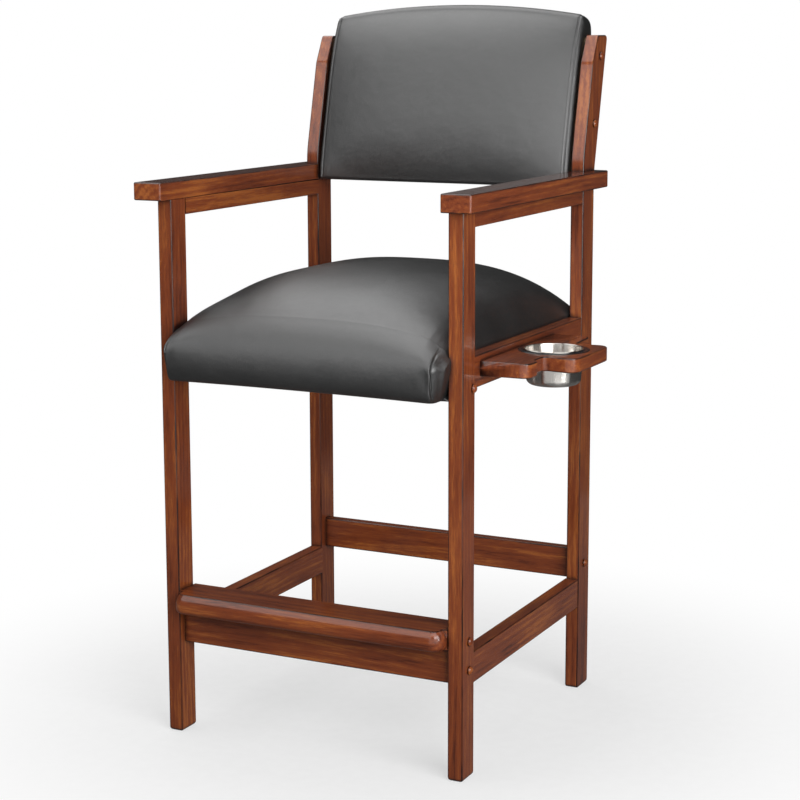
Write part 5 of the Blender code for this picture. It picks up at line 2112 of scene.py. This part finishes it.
@dataclass
class Studio:
    """A plain pale floor, white surroundings, soft lamps and the screens that gloss and metal mirror."""
    target: Vector = field(default_factory=lambda: Vector((0.0, 0.0, 0.70)))
    floor_radii: Triple = (1.0, 3.0, 9.0)
    floor_height: float = -0.0004
    floor_colour: Colour = (0.95, 0.95, 0.95)
    floor_pale: Colour = (0.9785, 0.9785, 0.9785)
    grit_scale: Triple = (40.0, 40.0, 40.0)
    fade: Point = (0.30, 1.10)
    near_white: float = 0.55
    world_fill: float = 0.20
    screen_radius: float = 1.75
    screen_steps: int = 24
    dome_radius: float = 3.7
    dome_height: float = 0.002
    dome_level: float = 0.05
    card_height: float = 0.001
    card_gap: float = 0.01
    card_level: float = 0.13
    sides: int = 64
    lamps: tuple[Softbox, ...] = (
        Softbox("overhead_lamp", (-0.30, 0.06, 0.95), 2.2, (2.8, 2.8), 60.0),
        Softbox("front_lamp", (-0.42, -0.84, 0.50), 3.0, (3.6, 1.5), 34.0),
        Softbox("right_lamp", (0.79, -0.58, 0.17), 2.5, (1.9, 1.6), 68.0),
    )
    screens: tuple[Screen, ...] = (
        Screen("front_screen", (-7.0, 59.0), 0.90, 0.86),
        Screen("right_screen", (88.0, 200.0), 0.045, 1.35),
        Screen("right_gap_screen", (59.5, 76.0), 0.05, 0.45),
        Screen("left_screen", (-160.0, -66.0), 0.04, 1.35),
        Screen("left_gap_screen", (-58.0, -7.0), 0.06, 0.45),
        Screen("edge_screen", (0.0, 60.0), 3.0, 2.3, 1.40),
    )

    def build(self) -> None:
        """Build the studio."""
        self.build_floor()
        self.light_world()
        for lamp in self.lamps:
            self.hang(lamp)
        for screen in self.screens:
            self.stand(screen)
        self.raise_dome()
        self.lay_card()

    def seen_white(self, graph: Graph) -> bpy.types.NodeSocket:
        """One for rays that see the background or mirror it, and zero for rays that light.

        Args:
            graph: The graph that reads it.

        Returns:
            The socket.
        """
        path = graph.add("ShaderNodeLightPath").outputs
        seen = graph.math("MAXIMUM", path["Is Camera Ray"], path["Is Glossy Ray"])
        return graph.math("MAXIMUM", seen, path["Is Transmission Ray"])

    def build_floor(self) -> None:
        """Lay a round floor that turns white away from the chair and keeps its shadow near it."""
        material, graph = new_graph("studio_floor")
        where = graph.place()
        reach = graph.add("ShaderNodeVectorMath", {0: where}, operation="LENGTH").outputs["Value"]
        grit = graph.noise(where, self.grit_scale, 3.0).outputs[0]
        colour = graph.ramp(grit, [(0.35, self.floor_colour), (0.65, self.floor_pale)])
        matt = graph.add("ShaderNodeBsdfDiffuse", {"Color": colour}).outputs[0]
        away = graph.remap(reach, self.fade, (self.near_white, 1.0))
        share = graph.math("MULTIPLY", away, self.seen_white(graph))
        mix = graph.add("ShaderNodeMixShader", {0: share, 1: matt, 2: graph.glow(1.0)}).outputs[0]
        graph.add("ShaderNodeOutputMaterial", {0: mix})
        shape = Shape()
        rings = [(radius, 0.0) for radius in (0.0, *self.floor_radii)]
        turned(shape, rings, 96, Matrix.Translation((0.0, 0.0, self.floor_height)))
        floor = shape.publish("studio_floor", material, weighted=False)
        if floor.data.polygons[0].normal.z < 0:
            floor.data.flip_normals()

    def light_world(self) -> None:
        """Surround the scene with white, dim for the rays that light."""
        world = bpy.data.worlds.new("studio_world")
        bpy.context.scene.world = world
        world.use_nodes = True
        graph = Graph(world.node_tree)
        white = self.seen_white(graph)
        strength = graph.add("ShaderNodeMapRange", {0: white, 3: self.world_fill, 4: 1.0}).outputs[0]
        shader = graph.add("ShaderNodeBackground", {"Color": WHITE, "Strength": strength})
        graph.add("ShaderNodeOutputWorld", {0: shader.outputs[0]})

    def stand(self, screen: Screen) -> None:
        """Stand one screen on the floor.

        Args:
            screen: Which one.
        """
        shape = Shape()
        first, last = screen.span
        turns = [math.radians(first + (last - first) * index / self.screen_steps)
                 for index in range(self.screen_steps + 1)]
        plan = [(self.screen_radius * math.sin(turn), -self.screen_radius * math.cos(turn)) for turn in turns]
        rims = [shape.loop([Vector((x, y, height)) for x, y in plan]) for height in (screen.foot, screen.top)]
        shape.skin(rims, closed=False)
        self.set_aside(shape, screen.name, screen.level)

    def raise_dome(self) -> None:
        """Close the studio above the screens and behind the lamps with a dim dome."""
        shape = Shape()
        turned(shape, domed(self.dome_radius, self.dome_radius, 12), self.sides,
               Matrix.Translation((0.0, 0.0, self.dome_height)))
        self.set_aside(shape, "dome", self.dome_level)

    def lay_card(self) -> None:
        """Lay a grey card on the floor, which gloss mirrors and which gives a little light from below."""
        shape = Shape()
        turned(shape, [(0.0, 0.0), (self.screen_radius - self.card_gap, 0.0)], self.sides,
               Matrix.Translation((0.0, 0.0, self.card_height)))
        card = self.set_aside(shape, "floor_card", self.card_level)
        card.visible_diffuse = True

    def set_aside(self, shape: Shape, name: str, level: float) -> bpy.types.Object:
        """Publish a glowing sheet that only mirroring surfaces see.

        Args:
            shape: The sheet.
            name: Its name.
            level: How bright it is.

        Returns:
            The sheet's object.
        """
        material, graph = new_graph(name)
        graph.add("ShaderNodeOutputMaterial", {0: graph.glow(level)})
        made = shape.publish(name, material, weighted=False)
        for rays in ("camera", "diffuse", "transmission", "volume_scatter", "shadow"):
            setattr(made, "visible_" + rays, False)
        return made

    def hang(self, softbox: Softbox) -> None:
        """Hang one lamp.

        Args:
            softbox: Which one.
        """
        light = bpy.data.lights.new(softbox.name, "AREA")
        light.shape = "RECTANGLE"
        light.size, light.size_y = softbox.size
        light.energy = softbox.power
        lamp = bpy.data.objects.new(softbox.name, light)
        way = Vector(softbox.way).normalized()
        lamp.location = self.target + way * softbox.distance
        lamp.rotation_euler = way.to_track_quat("Z", "Y").to_euler()
        lamp.visible_camera = False
        bpy.context.collection.objects.link(lamp)


@dataclass(frozen=True)
class Viewpoint:
    """The camera of the photograph."""
    location: Triple = (1.4473, -2.9624, 1.1864)
    yaw: float = 0.4612
    pitch: float = math.radians(9.56)
    roll: float = math.radians(-0.153)
    sensor: float = 36.0
    lens: float = 86.6
    shift_y: float = -0.05
    furthest: float = 100.0

    def set_up(self) -> bpy.types.Object:
        """Put the camera in its place.

        Returns:
            The camera.
        """
        data = bpy.data.cameras.new("viewpoint")
        data.sensor_fit = "HORIZONTAL"
        data.sensor_width = self.sensor
        data.lens = self.lens
        data.shift_y = self.shift_y
        data.clip_end = self.furthest
        camera = bpy.data.objects.new("viewpoint", data)
        level, fall = math.cos(self.pitch), math.sin(self.pitch)
        forward = Vector((-math.sin(self.yaw) * level, math.cos(self.yaw) * level, -fall))
        right = Vector((math.cos(self.yaw), math.sin(self.yaw), 0.0))
        up = right.cross(forward)
        turned_right = right * math.cos(self.roll) + up * math.sin(self.roll)
        turned_up = up * math.cos(self.roll) - right * math.sin(self.roll)
        axes = Matrix((turned_right, turned_up, -forward)).transposed()
        camera.matrix_world = Matrix.Translation(self.location) @ axes.to_4x4()
        bpy.context.collection.objects.link(camera)
        bpy.context.scene.camera = camera
        return camera


def main() -> None:
    """Build the studio, the chair and the viewpoint."""
    logging.basicConfig(level=logging.INFO, format="%(name)s: %(message)s")
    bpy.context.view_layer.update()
    bpy.context.scene.view_settings.view_transform = "Standard"
    places = Places.read()
    finishes = Finishes()
    Studio().build()
    Viewpoint().set_up()
    pieces = WoodFrame(places, finishes).build()
    pieces += CupHolder(places, finishes).build()
    pieces += Upholstery(places, finishes).build()
    LOG.info("%d pieces dressed", len(pieces))
    bpy.context.view_layer.update()


if __name__ == "__main__":
    main()
